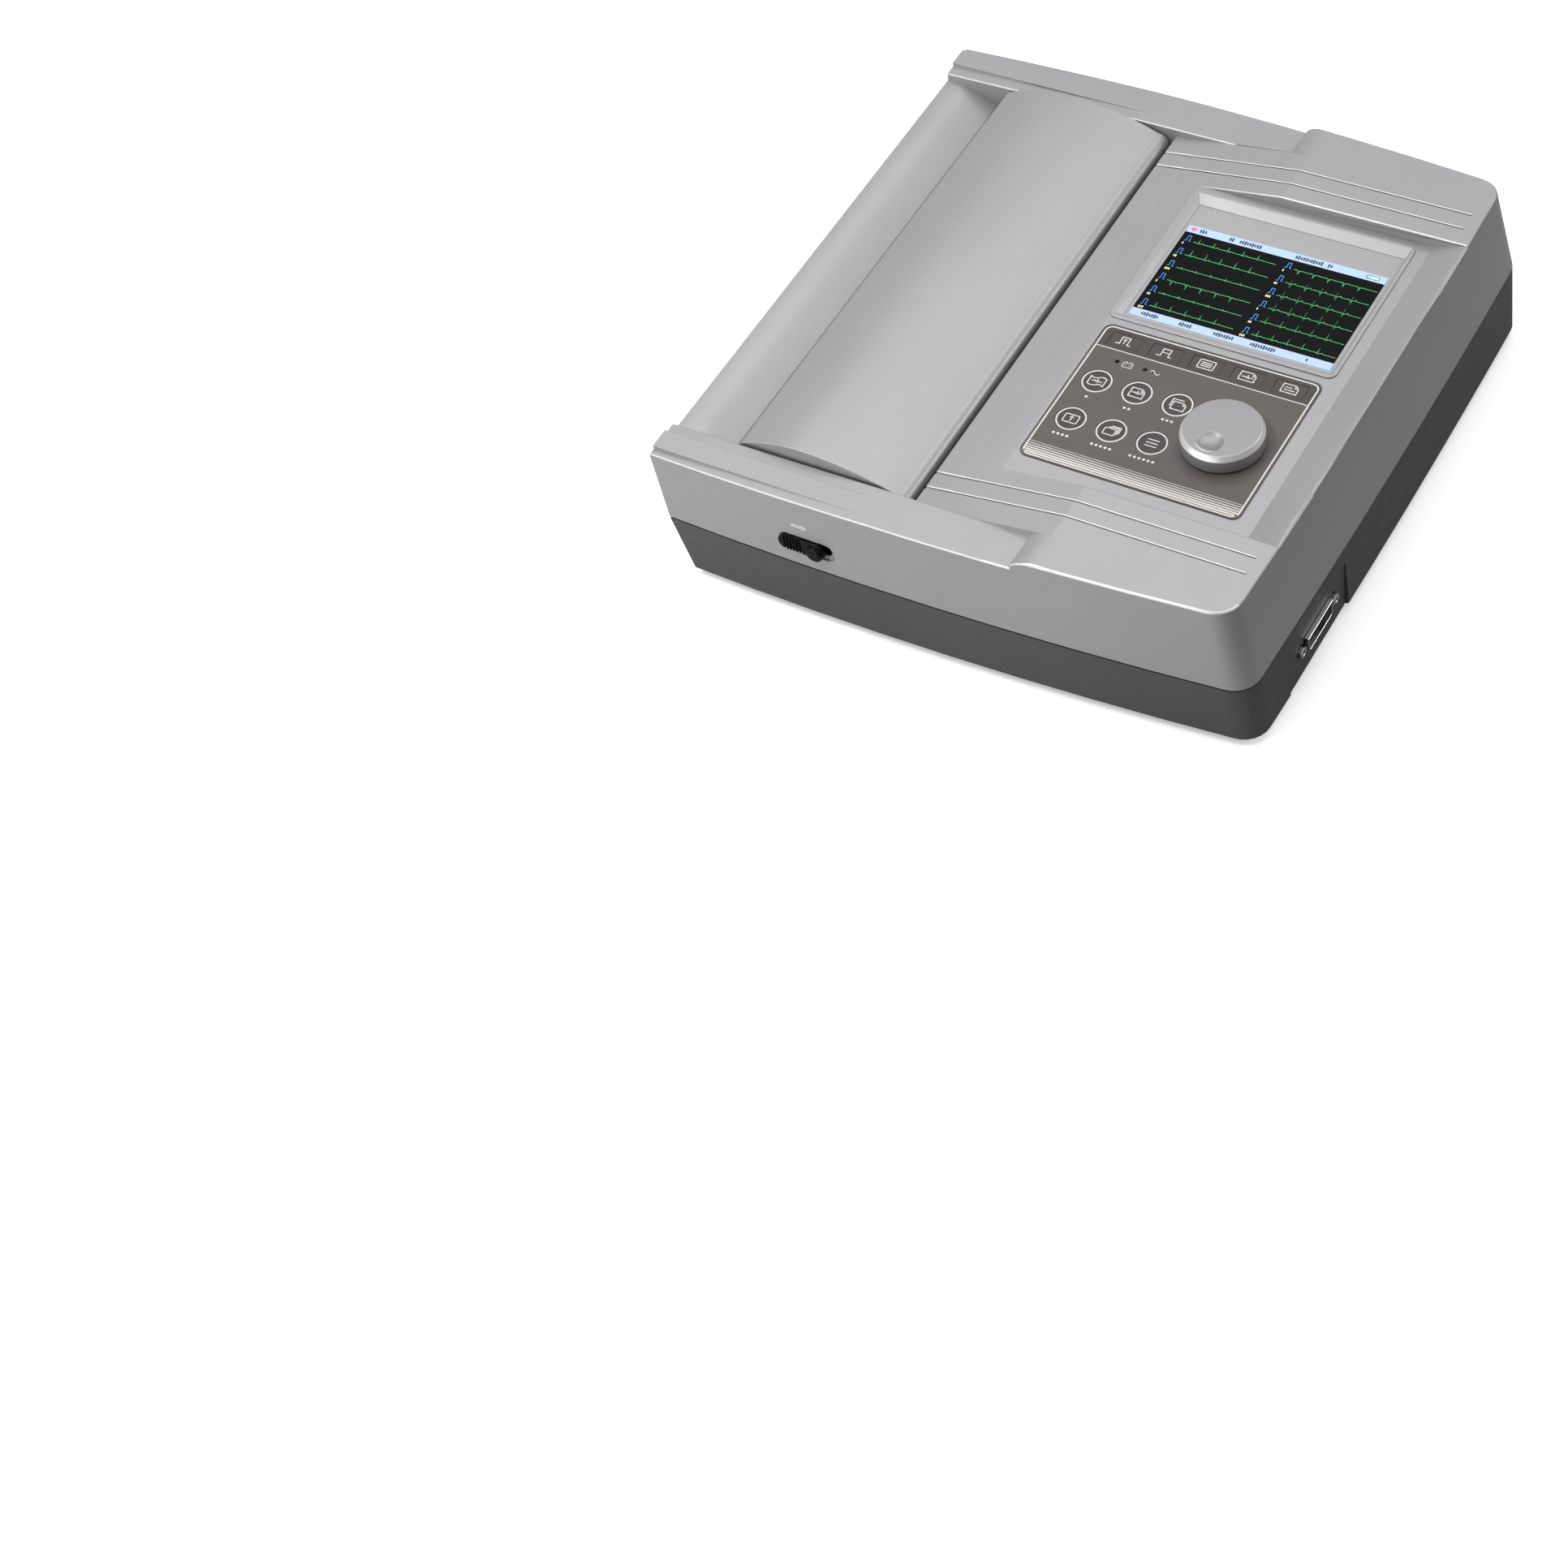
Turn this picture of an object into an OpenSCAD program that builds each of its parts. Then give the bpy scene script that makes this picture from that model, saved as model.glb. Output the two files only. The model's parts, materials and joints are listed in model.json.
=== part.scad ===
// Portable electrocardiograph with a built-in printer.
// Millimetres. X to the user's right, Y to the back, Z up. The origin is the centre of the
// footprint, on the surface the feet stand on.

/* [Case] */
// Wall thickness of both shells
wall = 2.5; // [2.2:0.1:2.7]
// Height of the flat control deck above the table
deck_z = 83.25; // [83:0.25:84]
// Height of the crown of the two side arms
arm_z = 77.7; // [77.5:0.1:78]
// Width of the decorative grooves on the deck
groove_w = 0.8; // [0.5:0.1:1.2]
// Radius of the rubber feet
foot_r = 9; // [7:0.5:9]

/* [Controls] */
// Radius of the round keys
key_r = 7.2; // [6.6:0.1:7.2]
// Gap around a key or a turning pin
running_gap = 0.05; // [0.03:0.01:0.08]
// Radius of the jog dial at its base
dial_r = 18.7; // [17.5:0.1:19]
// Height of the top of the jog dial
dial_top_z = 87.2; // [86:0.1:88]
// Radius of the finger dimple in the jog dial
dimple_r = 6.3; // [5:0.1:6.5]

/* [Printer] */
// Radius of the rubber printing roller
platen_r = 7; // [6.6:0.1:7]
// Radius of the paper roll
roll_r = 27; // [15:1:28]
// Width of the paper
paper_w = 210; // [200:1:212]
// Radius of the roller shaft
shaft_r = 2.5; // [2.2:0.1:2.6]

/* [Side grips] */
// Number of ribs on the latch
latch_ribs = 6; // [4:1:7]

/* [Hidden] */
$fn = 64;
foot_h = 4;
floor_z = foot_h + wall;
lower_top_z = 38.7;
upper_bottom_z = 39.4;
join_z = 40.4;

// The front and back edges bow outwards on a large radius about this X
bow_x = -60;
bow_r = 2150;
side_r = 5600;

// Panel recess in the deck
panel_z = 77.2;
pocket_z = 76.9;
panel_floor_z = 74.7;
panel_half_w = 97.8;
bed_half_w = 128.8;
ramp_x0 = -22;
ramp_z0 = 73.05;
ramp_x1 = 48;
slope_foot_x = 122.4;
slope_top_x = 138.6;

// Paper trough: an arc about (trough_x, trough_z), then a straight fall
trough_x = -144.2;
trough_z = 47.2;
trough_r = 25;
trough_end_x = -120.5;
trough_end_z = 63.2;

// Paper door and hinge
hinge_x = -30;
hinge_z = 69.1;
barrel_r = 5.3;
peak_x = -79;
peak_z = 83.5;
door_left_r = 68.9;
door_right_r = 137;
door_t = 2.2;
door_half_w = 127.5;

// Printer drive
platen_x = -106.5;
platen_z = 63;
gear_module = 0.8;
platen_teeth = 20;
idler_teeth = 32;
pinion_teeth = 16;
idler_z = platen_z - gear_module * (platen_teeth + idler_teeth) / 2;
pinion_gap = gear_module * (idler_teeth + pinion_teeth) / 2;
pinion_x = platen_x - pinion_gap * cos(45);
pinion_z = idler_z - pinion_gap * sin(45);
gear_y0 = -123.5;
gear_y1 = -119.5;
pressure = 20;
tub_x = -60;
tub_z = 39.5;
tub_r = 31.5;
core_bore_r = 6.3;

// Controls
overlay_top_z = 77.45;
key_travel = 0.4;
key_spots = [[20.5, -34.4], [40.4, -34.4], [60.2, -34.4], [20.5, -59.3], [40.4, -59.3], [60.2, -59.3]];
soft_key_x = [20.8, 41.2, 61.1, 81.1, 101.4];
soft_key_y = -7.4;
soft_key_w = 15;
soft_key_d = 8;
dial_x = 88.8;
dial_y = -47.9;
shaft_seat_r = 3;
led_spots = [[23.3, -20.2], [37.2, -20.2]];
board_z = 71;
keypad_post_spots = [[13, -81], [110, -81], [13, -16], [110, -16]];
latch_z = 51.5;

// Screen
window_x0 = 11;
window_x1 = 113.2;
window_y0 = 9.5;
window_y1 = 88;

// Rear panel and lead socket
rear_y = 140;
socket_x = 147.2;
socket_y = -82;
socket_z = 20.5;
socket_pitch = 33.3;

boss_spots = [[-128, 140], [-128, -140], [25, 141], [25, -141], [126, 128], [126, -128]];
board_spots = [[-10, -88], [-10, 92], [130, 92], [130, -40]];
main_board_z = 34;
low_board_z = 12;
low_board_spots = [[101, -106], [138, -106], [101, -58], [138, -58],
    [38, 64], [120, 64], [38, 112], [120, 112]];
board_t = 1.6;
foot_spots = [[-112, 125], [-112, -125], [128, 112], [128, -112]];

// ---------- helpers ----------

module box(x0, x1, y0, y1, z0, z1) {
    translate([x0, y0, z0])
        cube([x1 - x0, y1 - y0, z1 - z0]);
}

// Extrudes an outline drawn in X and Z along Y
module along_y(y0, y1) {
    translate([0, y1, 0])
        rotate([90, 0, 0])
            linear_extrude(y1 - y0)
                children();
}

// Extrudes an outline drawn in Y and Z along X
module along_x(x0, x1) {
    translate([x0, 0, 0])
        rotate([90, 0, 90])
            linear_extrude(x1 - x0)
                children();
}

module both_ends() {
    children();
    mirror([0, 1, 0])
        children();
}

module rounded(x0, x1, y0, y1, r) {
    translate([x0 + r, y0])
        square([x1 - x0 - 2 * r, y1 - y0]);
    translate([x0, y0 + r])
        square([x1 - x0, y1 - y0 - 2 * r]);
    for (x = [x0 + r, x1 - r], y = [y0 + r, y1 - r])
        translate([x, y])
            circle(r);
}

module rounded_plate(x0, x1, y0, y1, z0, z1, r) {
    translate([0, 0, z0])
        linear_extrude(z1 - z0)
            rounded(x0, x1, y0, y1, r);
}

module post(x, y, z0, z1, r) {
    translate([x, y, z0])
        cylinder(h = z1 - z0, r = r);
}

module pin_y(x, z, y0, y1, r) {
    along_y(y0, y1)
        translate([x, z])
            circle(r);
}

module pin_x(y, z, x0, x1, r) {
    along_x(x0, x1)
        translate([y, z])
            circle(r);
}

// ---------- case outline ----------

function bow(x, y0) = y0 - (x - bow_x) * (x - bow_x) / (2 * bow_r);
function side(y, x1) = x1 - y * y / (2 * side_r);
function front_half(x0, x1, y0, r) = let (cy = bow(x1 - r, y0) - r, cx = side(cy, x1) - r) concat(
    [for (i = [0:8]) let (x = x0 + (cx - x0) * i / 8) [x, -bow(x, y0)]],
    [for (a = [-75:15:-15]) [cx + r * cos(a), -cy + r * sin(a)]],
    [for (i = [0:3]) let (y = -cy + cy * i / 4) [side(y, x1), y]]);
function flipped(points) = [for (i = [len(points) - 1:-1:0]) [points[i][0], -points[i][1]]];

module plan(x0, x1, y0, r) {
    half = front_half(x0, x1, y0, r);
    polygon(concat(half, [[x1, 0]], flipped(half)));
}

module plan_slice(z, x0, x1, y0, r, inset = 0) {
    translate([0, 0, z])
        linear_extrude(0.01)
            plan(x0 + inset, x1 - inset, y0 - inset, r - inset);
}

module upper_form() {
    hull() {
        plan_slice(upper_bottom_z, -141.6, 147.4, 153.6, 12);
        plan_slice(deck_z - 1, -147.6, 139.9, 150.5, 12);
        plan_slice(deck_z - 0.01, -147.6, 138.9, 149.5, 11);
    }
}

module upper_hollow() {
    hull() {
        plan_slice(upper_bottom_z - 1, -141.5, 147.5, 153.7, 12, wall);
        plan_slice(deck_z - wall, -147.4, 140, 150.6, 12, wall);
    }
}

module lower_form() {
    hull() {
        plan_slice(foot_h, -136.3, 148.4, 150.7, 11);
        plan_slice(foot_h + 1, -135.9, 149.3, 151.5, 12);
        plan_slice(lower_top_z - 0.01, -141.5, 147.5, 153.6, 12);
    }
}

module lower_hollow() {
    hull() {
        plan_slice(floor_z, -136.1, 149.2, 151.7, 12, wall);
        plan_slice(lower_top_z + 2, -141.8, 147.4, 153.7, 12, wall);
    }
}

// ---------- upper shell ----------

// Curve of the paper trough: level at the left edge, then falling towards the roller
function trough(drop = 0) = concat(
    [for (a = [0:3:27]) [trough_x + (trough_r - drop) * sin(a), trough_z + (trough_r - drop) * cos(a)]],
    [[trough_end_x, trough_end_z - drop * 1.1]]);

// Everything cut away above the paper trough, the door opening and the ramp
module bed_cut() {
    along_y(-bed_half_w, bed_half_w)
        polygon(concat([[-160, trough_z + trough_r]], trough(), [[trough_end_x, 30], [ramp_x0, 30],
            [ramp_x0, ramp_z0], [ramp_x1, deck_z], [ramp_x1, 95], [-160, 95]]));
}

// Lowers each arm to its crown, with a rounded step up to the deck
module arm_cut() {
    step_run = 13;
    both_ends()
        along_y(bed_half_w, 160)
            polygon(concat([[-160, arm_z]],
                [for (a = [0:10:90]) [50 - step_run * cos(a), arm_z + (deck_z - arm_z) * sin(a)]],
                [[50, 95], [-160, 95]]));
    ledge = [[-160, 75.7], [-147, 75.9], [-33, arm_z], [-33, 95], [-160, 95]];
    both_ends()
        along_y(145.9, 160)
            polygon(ledge);
    both_ends()
        along_y(bed_half_w, 135.1)
            polygon(ledge);
}

module panel_cut() {
    along_y(-panel_half_w, panel_half_w)
        polygon([[4.5, panel_z], [slope_foot_x, panel_z], [slope_top_x, deck_z],
            [slope_top_x, 95], [4.5, 95]]);
    rounded_plate(7.7, 114.7, -87.2, 0.8, pocket_z, panel_z + 1, 4.5);
    rounded_plate(7, 115.5, 6, 93, panel_floor_z - 1, panel_z + 1, 3);
}

// Two long grooves each side of the panel and two fine ones across the ramp
module deck_grooves() {
    depth = 0.6;
    both_ends()
        for (y = [107.5, 117])
            along_y(y - groove_w / 2, y + groove_w / 2)
                polygon([[ramp_x0 - 1, ramp_z0 - depth - 0.15], [ramp_x1, deck_z - depth],
                    [133, deck_z - depth], [133, 95], [ramp_x0 - 1, 95]]);
    for (x = [-16.3, -7.8])
        along_y(-121, 121)
            translate([x, ramp_z0 + (x - ramp_x0) * (deck_z - ramp_z0) / (ramp_x1 - ramp_x0)])
                rotate(45)
                    square(0.55, center = true);
}

module control_holes() {
    for (p = key_spots)
        post(p[0], p[1], panel_floor_z - 1, panel_z, key_r + 0.4);
    for (x = soft_key_x)
        box(x - soft_key_w / 2 - 0.4, x + soft_key_w / 2 + 0.4, soft_key_y - soft_key_d / 2 - 0.4,
            soft_key_y + soft_key_d / 2 + 0.4, panel_floor_z - 1, panel_z);
    for (p = led_spots)
        post(p[0], p[1], panel_floor_z - 1, panel_z, 1.6);
    post(dial_x, dial_y, panel_floor_z - 1, panel_z, 4.6);
}

module latch_cut() {
    along_y(-160, -151.4)
        rounded(-80.2, -50.8, latch_z - 4.8, latch_z + 4.8, 4.79);
    along_y(-155, -148)
        rounded(-76, -53, latch_z - 3.2, latch_z + 3.2, 3.19);
    box(-80, -52, -133, -127, latch_z - 5, latch_z + 5);
}

// Space left inside: both arms, the trough, the deck shoulders and the panel
module upper_inside() {
    both_ends()
        box(-150, 44, bed_half_w + wall, 160, 38, 73.2);
    both_ends()
        box(53, 150, 100, 160, 38, deck_z - wall);
    box(-124, -120, -bed_half_w, bed_half_w, 38, 51);
    along_y(-bed_half_w, bed_half_w)
        polygon(concat([[-150, 38], [-150, trough_z + trough_r - wall]],
            [for (p = trough(wall)) [min(p[0], trough_end_x - wall), p[1]]], [[trough_end_x - wall, 38]]));
    along_y(-bed_half_w, bed_half_w)
        polygon([[ramp_x0 + wall, 38], [ramp_x0 + wall, 70.8], [6.8, panel_floor_z], [150, panel_floor_z],
            [150, 38]]);
}

module upper_bosses() {
    for (p = boss_spots)
        post(p[0], p[1], join_z, abs(p[1]) > 130 ? 74 : deck_z - 1.5, 4);
    for (p = keypad_post_spots)
        post(p[0], p[1], board_z + board_t, panel_floor_z + 0.5, 2);
}

// Lets the tongue of the lower shell pass the inner walls
module tongue_groove() {
    translate([0, 0, upper_bottom_z - 1])
        linear_extrude(3.2)
            difference() {
                plan(-139, 144.8, 151, 9.5);
                plan(-137.4, 143.2, 149.4, 7.9);
            }
}

module upper_shell() {
    color("silver")
        difference() {
            union() {
                difference() {
                    upper_form();
                    intersection() {
                        upper_hollow();
                        upper_inside();
                    }
                }
                upper_bosses();
            }
            bed_cut();
            arm_cut();
            panel_cut();
            deck_grooves();
            control_holes();
            latch_cut();
            tongue_groove();
            for (p = boss_spots)
                post(p[0], p[1], join_z - 1, 52, 1.5);
            both_ends()
                pin_y(hinge_x, hinge_z, 127, 133, 2);
        }
}

// ---------- lower shell ----------

module split_tongue() {
    translate([0, 0, lower_top_z - 3])
        linear_extrude(5.6)
            difference() {
                plan(-138.8, 144.6, 150.8, 9.3);
                plan(-137.6, 143.4, 149.6, 8.1);
            }
}

module rear_bay_block() {
    box(27.5, 120.5, rear_y - wall, 160, floor_z - 1, 37.5);
}

module socket_block() {
    box(socket_x - 3, 160, -113.2, -50.5, foot_h, 33.5);
}

// Flat-bottomed bay that the lead plug enters, open below
module socket_bay() {
    box(socket_x, 160, -110.7, -53, foot_h - 1, 31);
}

module rear_holes() {
    box(30, 118, rear_y, 160, 9, 35);
    box(89.9, 116.1, 130, 150, 12.4, 31.6);
    box(73.3, 86.7, 130, 150, 11.9, 32.1);
    box(37.9, 52.1, 130, 150, 14.9, 28.1);
    pin_y(63, 22, 130, 150, 2.5);
}

module battery_bay() {
    difference() {
        box(-3.5, 93.5, -103.5, -36.5, floor_z - 1, 29);
        box(-1, 91, -101, -39, 3, 30);
    }
}

module speaker_grille() {
    for (i = [-3:3])
        rounded_plate(-126, -102, 69 + i * 3.4, 70.6 + i * 3.4, 3, floor_z + 1, 0.79);
}

module lower_posts() {
    for (p = boss_spots)
        post(p[0], p[1], floor_z - 1, join_z, 5.2);
    for (p = board_spots)
        post(p[0], p[1], floor_z - 1, main_board_z, 3.5);
    for (p = low_board_spots)
        post(p[0], p[1], floor_z - 1, low_board_z, 3);
}

module lower_shell() {
    color("dimgray")
        difference() {
            union() {
                difference() {
                    lower_form();
                    lower_hollow();
                }
                intersection() {
                    lower_form();
                    union() {
                        rear_bay_block();
                        socket_block();
                    }
                }
                split_tongue();
                lower_posts();
                battery_bay();
            }
            socket_bay();
            box(socket_x - 4, socket_x + 1, socket_y - 13, socket_y + 13, socket_z - 4.7, socket_z + 4.7);
            for (s = [-1, 1])
                pin_x(socket_y + s * socket_pitch / 2, socket_z, socket_x - 4, socket_x + 1, 3);
            rear_holes();
            box(-2, 92, -102, -38, 3, floor_z);
            speaker_grille();
            for (p = foot_spots)
                post(p[0], p[1], 3, foot_h + 0.6, foot_r + 0.1);
            for (p = boss_spots) {
                post(p[0], p[1], 3, 30, 3.4);
                post(p[0], p[1], 29, join_z + 1, 1.7);
            }
            for (p = board_spots)
                post(p[0], p[1], 24, 35, 1.2);
            for (p = low_board_spots)
                post(p[0], p[1], floor_z + 0.5, 13, 1.2);
        }
}

module case_screws() {
    color("silver")
        for (p = boss_spots)
            difference() {
                union() {
                    post(p[0], p[1], 27, 30, 2.9);
                    post(p[0], p[1], 29, 50, 1.48);
                }
                translate([p[0], p[1], 26])
                    cylinder(h = 2.6, r = 1.3, $fn = 6);
            }
}

module rubber_feet() {
    color("black")
        for (p = foot_spots)
            post(p[0], p[1], 0, foot_h + 0.6, foot_r);
}

// ---------- screen ----------

module screen_bezel() {
    color("silver")
        difference() {
            union() {
                rounded_plate(5.5, 116.6, 4.6, 94.6, panel_z, 78, 4);
                rounded_plate(7.2, 115.3, 6.2, 92.8, 75, panel_z + 0.5, 2.8);
            }
            box(window_x0, window_x1, window_y0, window_y1, 74, 80);
            intersection() {
                along_y(0, 100)
                    polygon([[window_x0, 75.3], [window_x1, 75.3], [114.8, 78.1], [8.2, 78.1]]);
                along_x(0, 120)
                    polygon([[window_y0, 75.3], [window_y1, 75.3], [93, 78.1], [6.7, 78.1]]);
            }
        }
}

module screen_glass() {
    color("black")
        box(9, 115, 7.8, 91.4, 73.9, 75);
}

module lcd_module() {
    color("darkslategray") {
        box(9, 116, 6, 92.5, 67.5, 73.9);
        box(20, 105, 20, 80, 66.5, 67.5);
    }
}

// ---------- keypad ----------

module keypad_overlay() {
    color("dimgray")
        difference() {
            rounded_plate(8.2, 114.2, -86.7, 0.3, pocket_z, overlay_top_z, 4);
            for (p = key_spots)
                post(p[0], p[1], 70, 80, key_r + running_gap);
            for (x = soft_key_x)
                box(x - soft_key_w / 2 - 0.1, x + soft_key_w / 2 + 0.1, soft_key_y - soft_key_d / 2 - 0.1,
                    soft_key_y + soft_key_d / 2 + 0.1, 70, 80);
            for (p = led_spots)
                post(p[0], p[1], 70, 80, 1.1);
            post(dial_x, dial_y, 70, 80, 4.8);
        }
}

module round_key(p) {
    color("darkgray") {
        post(p[0], p[1], panel_floor_z - 0.1, overlay_top_z - 0.2, key_r);
        post(p[0], p[1], panel_floor_z - 0.7, panel_floor_z - 0.1, key_r + 1.2);
        post(p[0], p[1], board_z + 2.05 + key_travel, panel_floor_z - 0.7, 3);
    }
}

module soft_key(x) {
    w = soft_key_w / 2;
    d = soft_key_d / 2;
    color("darkgray") {
        box(x - w, x + w, soft_key_y - d, soft_key_y + d, panel_floor_z - 0.1, overlay_top_z);
        box(x - w - 1, x + w + 1, soft_key_y - d - 1, soft_key_y + d + 1,
            panel_floor_z - 0.7, panel_floor_z - 0.1);
        post(x, soft_key_y, board_z + 2.05 + key_travel, panel_floor_z - 0.7, 2);
    }
}

module wave_key() {
    round_key(key_spots[0]);
}

module record_key() {
    round_key(key_spots[1]);
}

module copy_key() {
    round_key(key_spots[2]);
}

module home_key() {
    round_key(key_spots[3]);
}

module view_key() {
    round_key(key_spots[4]);
}

module menu_key() {
    round_key(key_spots[5]);
}

module keypad_board() {
    color("darkgreen")
        difference() {
            box(10, 113, -84, -1.5, board_z, board_z + 1.6);
            post(dial_x, dial_y, board_z - 1, board_z + 2, 4.8);
        }
}

module key_domes() {
    color("lightgray") {
        for (p = key_spots)
            post(p[0], p[1], board_z + 1.6, board_z + 2, 2.5);
        for (x = soft_key_x)
            post(x, soft_key_y, board_z + 1.6, board_z + 2, 2.5);
    }
}

module status_leds() {
    color("black")
        for (p = led_spots) {
            post(p[0], p[1], board_z + 1.6, pocket_z, 1.4);
            post(p[0], p[1], pocket_z, overlay_top_z - 0.1, 1);
        }
}

// ---------- jog dial ----------

module jog_dial() {
    base_z = 78.4;
    dimple_ball = 14;
    dimple_depth = dimple_ball - sqrt(dimple_ball * dimple_ball - dimple_r * dimple_r);
    color("silver")
        translate([dial_x, dial_y, 0])
            difference() {
                rotate_extrude()
                    polygon([[shaft_seat_r, base_z], [dial_r, base_z], [dial_r, dial_top_z - 2.6],
                        [dial_r - 1.5, dial_top_z], [0, dial_top_z], [0, dial_top_z - 3],
                        [shaft_seat_r, dial_top_z - 3]]);
                translate([-1.2, -9.4, dial_top_z + dimple_ball - dimple_depth])
                    sphere(dimple_ball);
                difference() {
                    post(0, 0, base_z - 1, dial_top_z - 3.6, dial_r - 2);
                    post(0, 0, base_z - 1, dial_top_z, 6);
                }
            }
}

module encoder_shaft() {
    color("gainsboro")
        post(dial_x, dial_y, 68, dial_top_z - 3, shaft_seat_r);
}

module encoder_plunger() {
    color("white")
        post(dial_x, dial_y, 66.6, 68, shaft_seat_r);
}

module encoder_body() {
    color("gray")
        translate([dial_x, dial_y, 0])
            difference() {
                union() {
                    box(-7, 7, -7, 7, 64.4, board_z);
                    post(0, 0, board_z, 77, 4.5);
                }
                post(0, 0, 65.7, 78, shaft_seat_r + running_gap);
            }
}

// ---------- latch ----------

module latch_slider() {
    cap_x0 = -79.9;
    cap_x1 = -55.6;
    rib_pitch = 9.6 / latch_ribs;
    color("black") {
        difference() {
            along_y(-154, -151.5)
                rounded(cap_x0, cap_x1, latch_z - 4.5, latch_z + 4.5, 4.49);
            for (i = [0:latch_ribs - 1])
                box(cap_x0 + 3.2 + i * rib_pitch, cap_x0 + 4 + i * rib_pitch, -155, -153.3, 40, 60);
        }
        pin_y(cap_x1 - 4.5, latch_z, -156.6, -153.9, 4.2);
        along_y(-151.6, -149.2)
            rounded(-74.2, -58.5, latch_z - 2.9, latch_z + 2.9, 1);
        box(-79, -57, -149.3, -147.6, latch_z - 4.5, latch_z + 4.5);
        along_y(-147.7, -124.9)
            polygon([[-76, 48], [-58, 48], [-62, 53], [-76, 53]]);
    }
}

// ---------- paper door ----------

module door_arch(drop) {
    intersection() {
        translate([peak_x, peak_z - door_left_r])
            circle(door_left_r - drop, $fn = 180);
        translate([-111.4, 50])
            square([peak_x + 111.4, 50]);
    }
    intersection() {
        translate([peak_x, peak_z - door_right_r])
            circle(door_right_r - drop, $fn = 180);
        translate([peak_x, 50])
            square([hinge_x - peak_x, 50]);
    }
}

module door_skin() {
    difference() {
        door_arch(0);
        door_arch(door_t);
    }
    polygon([[-111.4, 75.4], [-119.1, 63.3], [-117.2, 63.3], [-110.6, 73.2],
        [-108.4, 74.6], [-109.4, 76.3]]);
    translate([hinge_x, hinge_z])
        circle(barrel_r);
}

module door_skirt() {
    intersection() {
        door_arch(0.5);
        translate([-112, 70])
            square([82, 20]);
    }
}

module door_cheek() {
    translate([platen_x, platen_z])
        circle(8);
    translate([platen_x - 6, platen_z])
        square([14, 12.6]);
}

module paper_door() {
    color("silver")
        difference() {
            union() {
                along_y(-door_half_w, door_half_w)
                    door_skin();
                both_ends()
                    along_y(door_half_w - 2.2, door_half_w)
                        door_skirt();
                both_ends()
                    along_y(111, 115)
                        door_cheek();
                along_y(-127.3, -124.8)
                    polygon([[-56, 74], [-56, 54], [-52, 50], [-50, 50], [-50, 74]]);
                for (y = [-61, -21, 19, 59])
                    along_y(y, y + 2)
                        difference() {
                            door_arch(1);
                            translate([-140, 50])
                                square([110, 23.5]);
                            translate([-140, 70])
                                square([41, 20]);
                        }
            }
            both_ends()
                pin_y(hinge_x, hinge_z, 115.5, 130, 2 + running_gap);
            both_ends()
                pin_y(platen_x, platen_z, 110, 116, 4.5);
        }
}

module hinge_pins() {
    color("gainsboro")
        both_ends() {
            pin_y(hinge_x, hinge_z, 116, 131.3, 2);
            pin_y(hinge_x, hinge_z, 131.3, 132.8, 3.5);
        }
}

// ---------- printer ----------

module platen_roller() {
    color("black")
        difference() {
            pin_y(platen_x, platen_z, -paper_w / 2 - 2.5, paper_w / 2 + 2.5, platen_r);
            pin_y(platen_x, platen_z, -120, 120, shaft_r);
        }
}

module platen_shaft() {
    color("gainsboro")
        pin_y(platen_x, platen_z, -124.5, 118, shaft_r);
}

module platen_bushes() {
    color("white")
        both_ends()
            difference() {
                pin_y(platen_x, platen_z, 110.6, 115.4, 4.5);
                pin_y(platen_x, platen_z, 110, 116, shaft_r + running_gap);
            }
}

// Involute tooth with a 20 degree pressure angle, a little thin for backlash
function inv(a) = tan(a) * 180 / PI - a;
function tooth_half(r, teeth) =
    let (base = gear_module * teeth / 2 * cos(pressure))
    90 / teeth + inv(pressure) - inv(acos(min(1, base / r))) - 3.4 / (gear_module * teeth);
function tooth(teeth, a) =
    let (p = gear_module * teeth / 2, b = max(p * cos(pressure), p - 0.9 * gear_module))
    let (radii = [b, p, p + gear_module * 0.92])
    concat([[(p - 1.25 * gear_module) * cos(a - tooth_half(b, teeth)),
            (p - 1.25 * gear_module) * sin(a - tooth_half(b, teeth))]],
        [for (r = radii) [r * cos(a - tooth_half(r, teeth)), r * sin(a - tooth_half(r, teeth))]],
        [for (i = [2:-1:0]) [radii[i] * cos(a + tooth_half(radii[i], teeth)),
            radii[i] * sin(a + tooth_half(radii[i], teeth))]],
        [[(p - 1.25 * gear_module) * cos(a + tooth_half(b, teeth)),
            (p - 1.25 * gear_module) * sin(a + tooth_half(b, teeth))]]);

// Spur gear in X and Z with a tooth pointing at first_tooth degrees
module spur(x, z, teeth, first_tooth, bore_r) {
    along_y(gear_y0, gear_y1)
        translate([x, z])
            difference() {
                polygon([for (i = [0:teeth - 1]) each tooth(teeth, first_tooth + i * 360 / teeth)]);
                circle(bore_r);
            }
}

module platen_gear() {
    color("white")
        spur(platen_x, platen_z, platen_teeth, 279, shaft_r);
}

module idler_gear() {
    color("white")
        spur(platen_x, idler_z, idler_teeth, 90, 1.5 + running_gap);
}

module motor_pinion() {
    color("goldenrod")
        spur(pinion_x, pinion_z, pinion_teeth, 56.25, 1);
}

module motor_shaft() {
    color("gainsboro")
        pin_y(pinion_x, pinion_z, gear_y0 - 0.5, -114, 1);
}

module stepper_motor() {
    color("silver")
        difference() {
            union() {
                pin_y(pinion_x, pinion_z, -116.5, -98, 12.5);
                pin_y(pinion_x, pinion_z, -118, -116.4, 4);
                box(pinion_x - 3, pinion_x + 5, -112, -104, 8, pinion_z);
            }
            pin_y(pinion_x, pinion_z, -119, -113, 1 + running_gap);
        }
}

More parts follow.
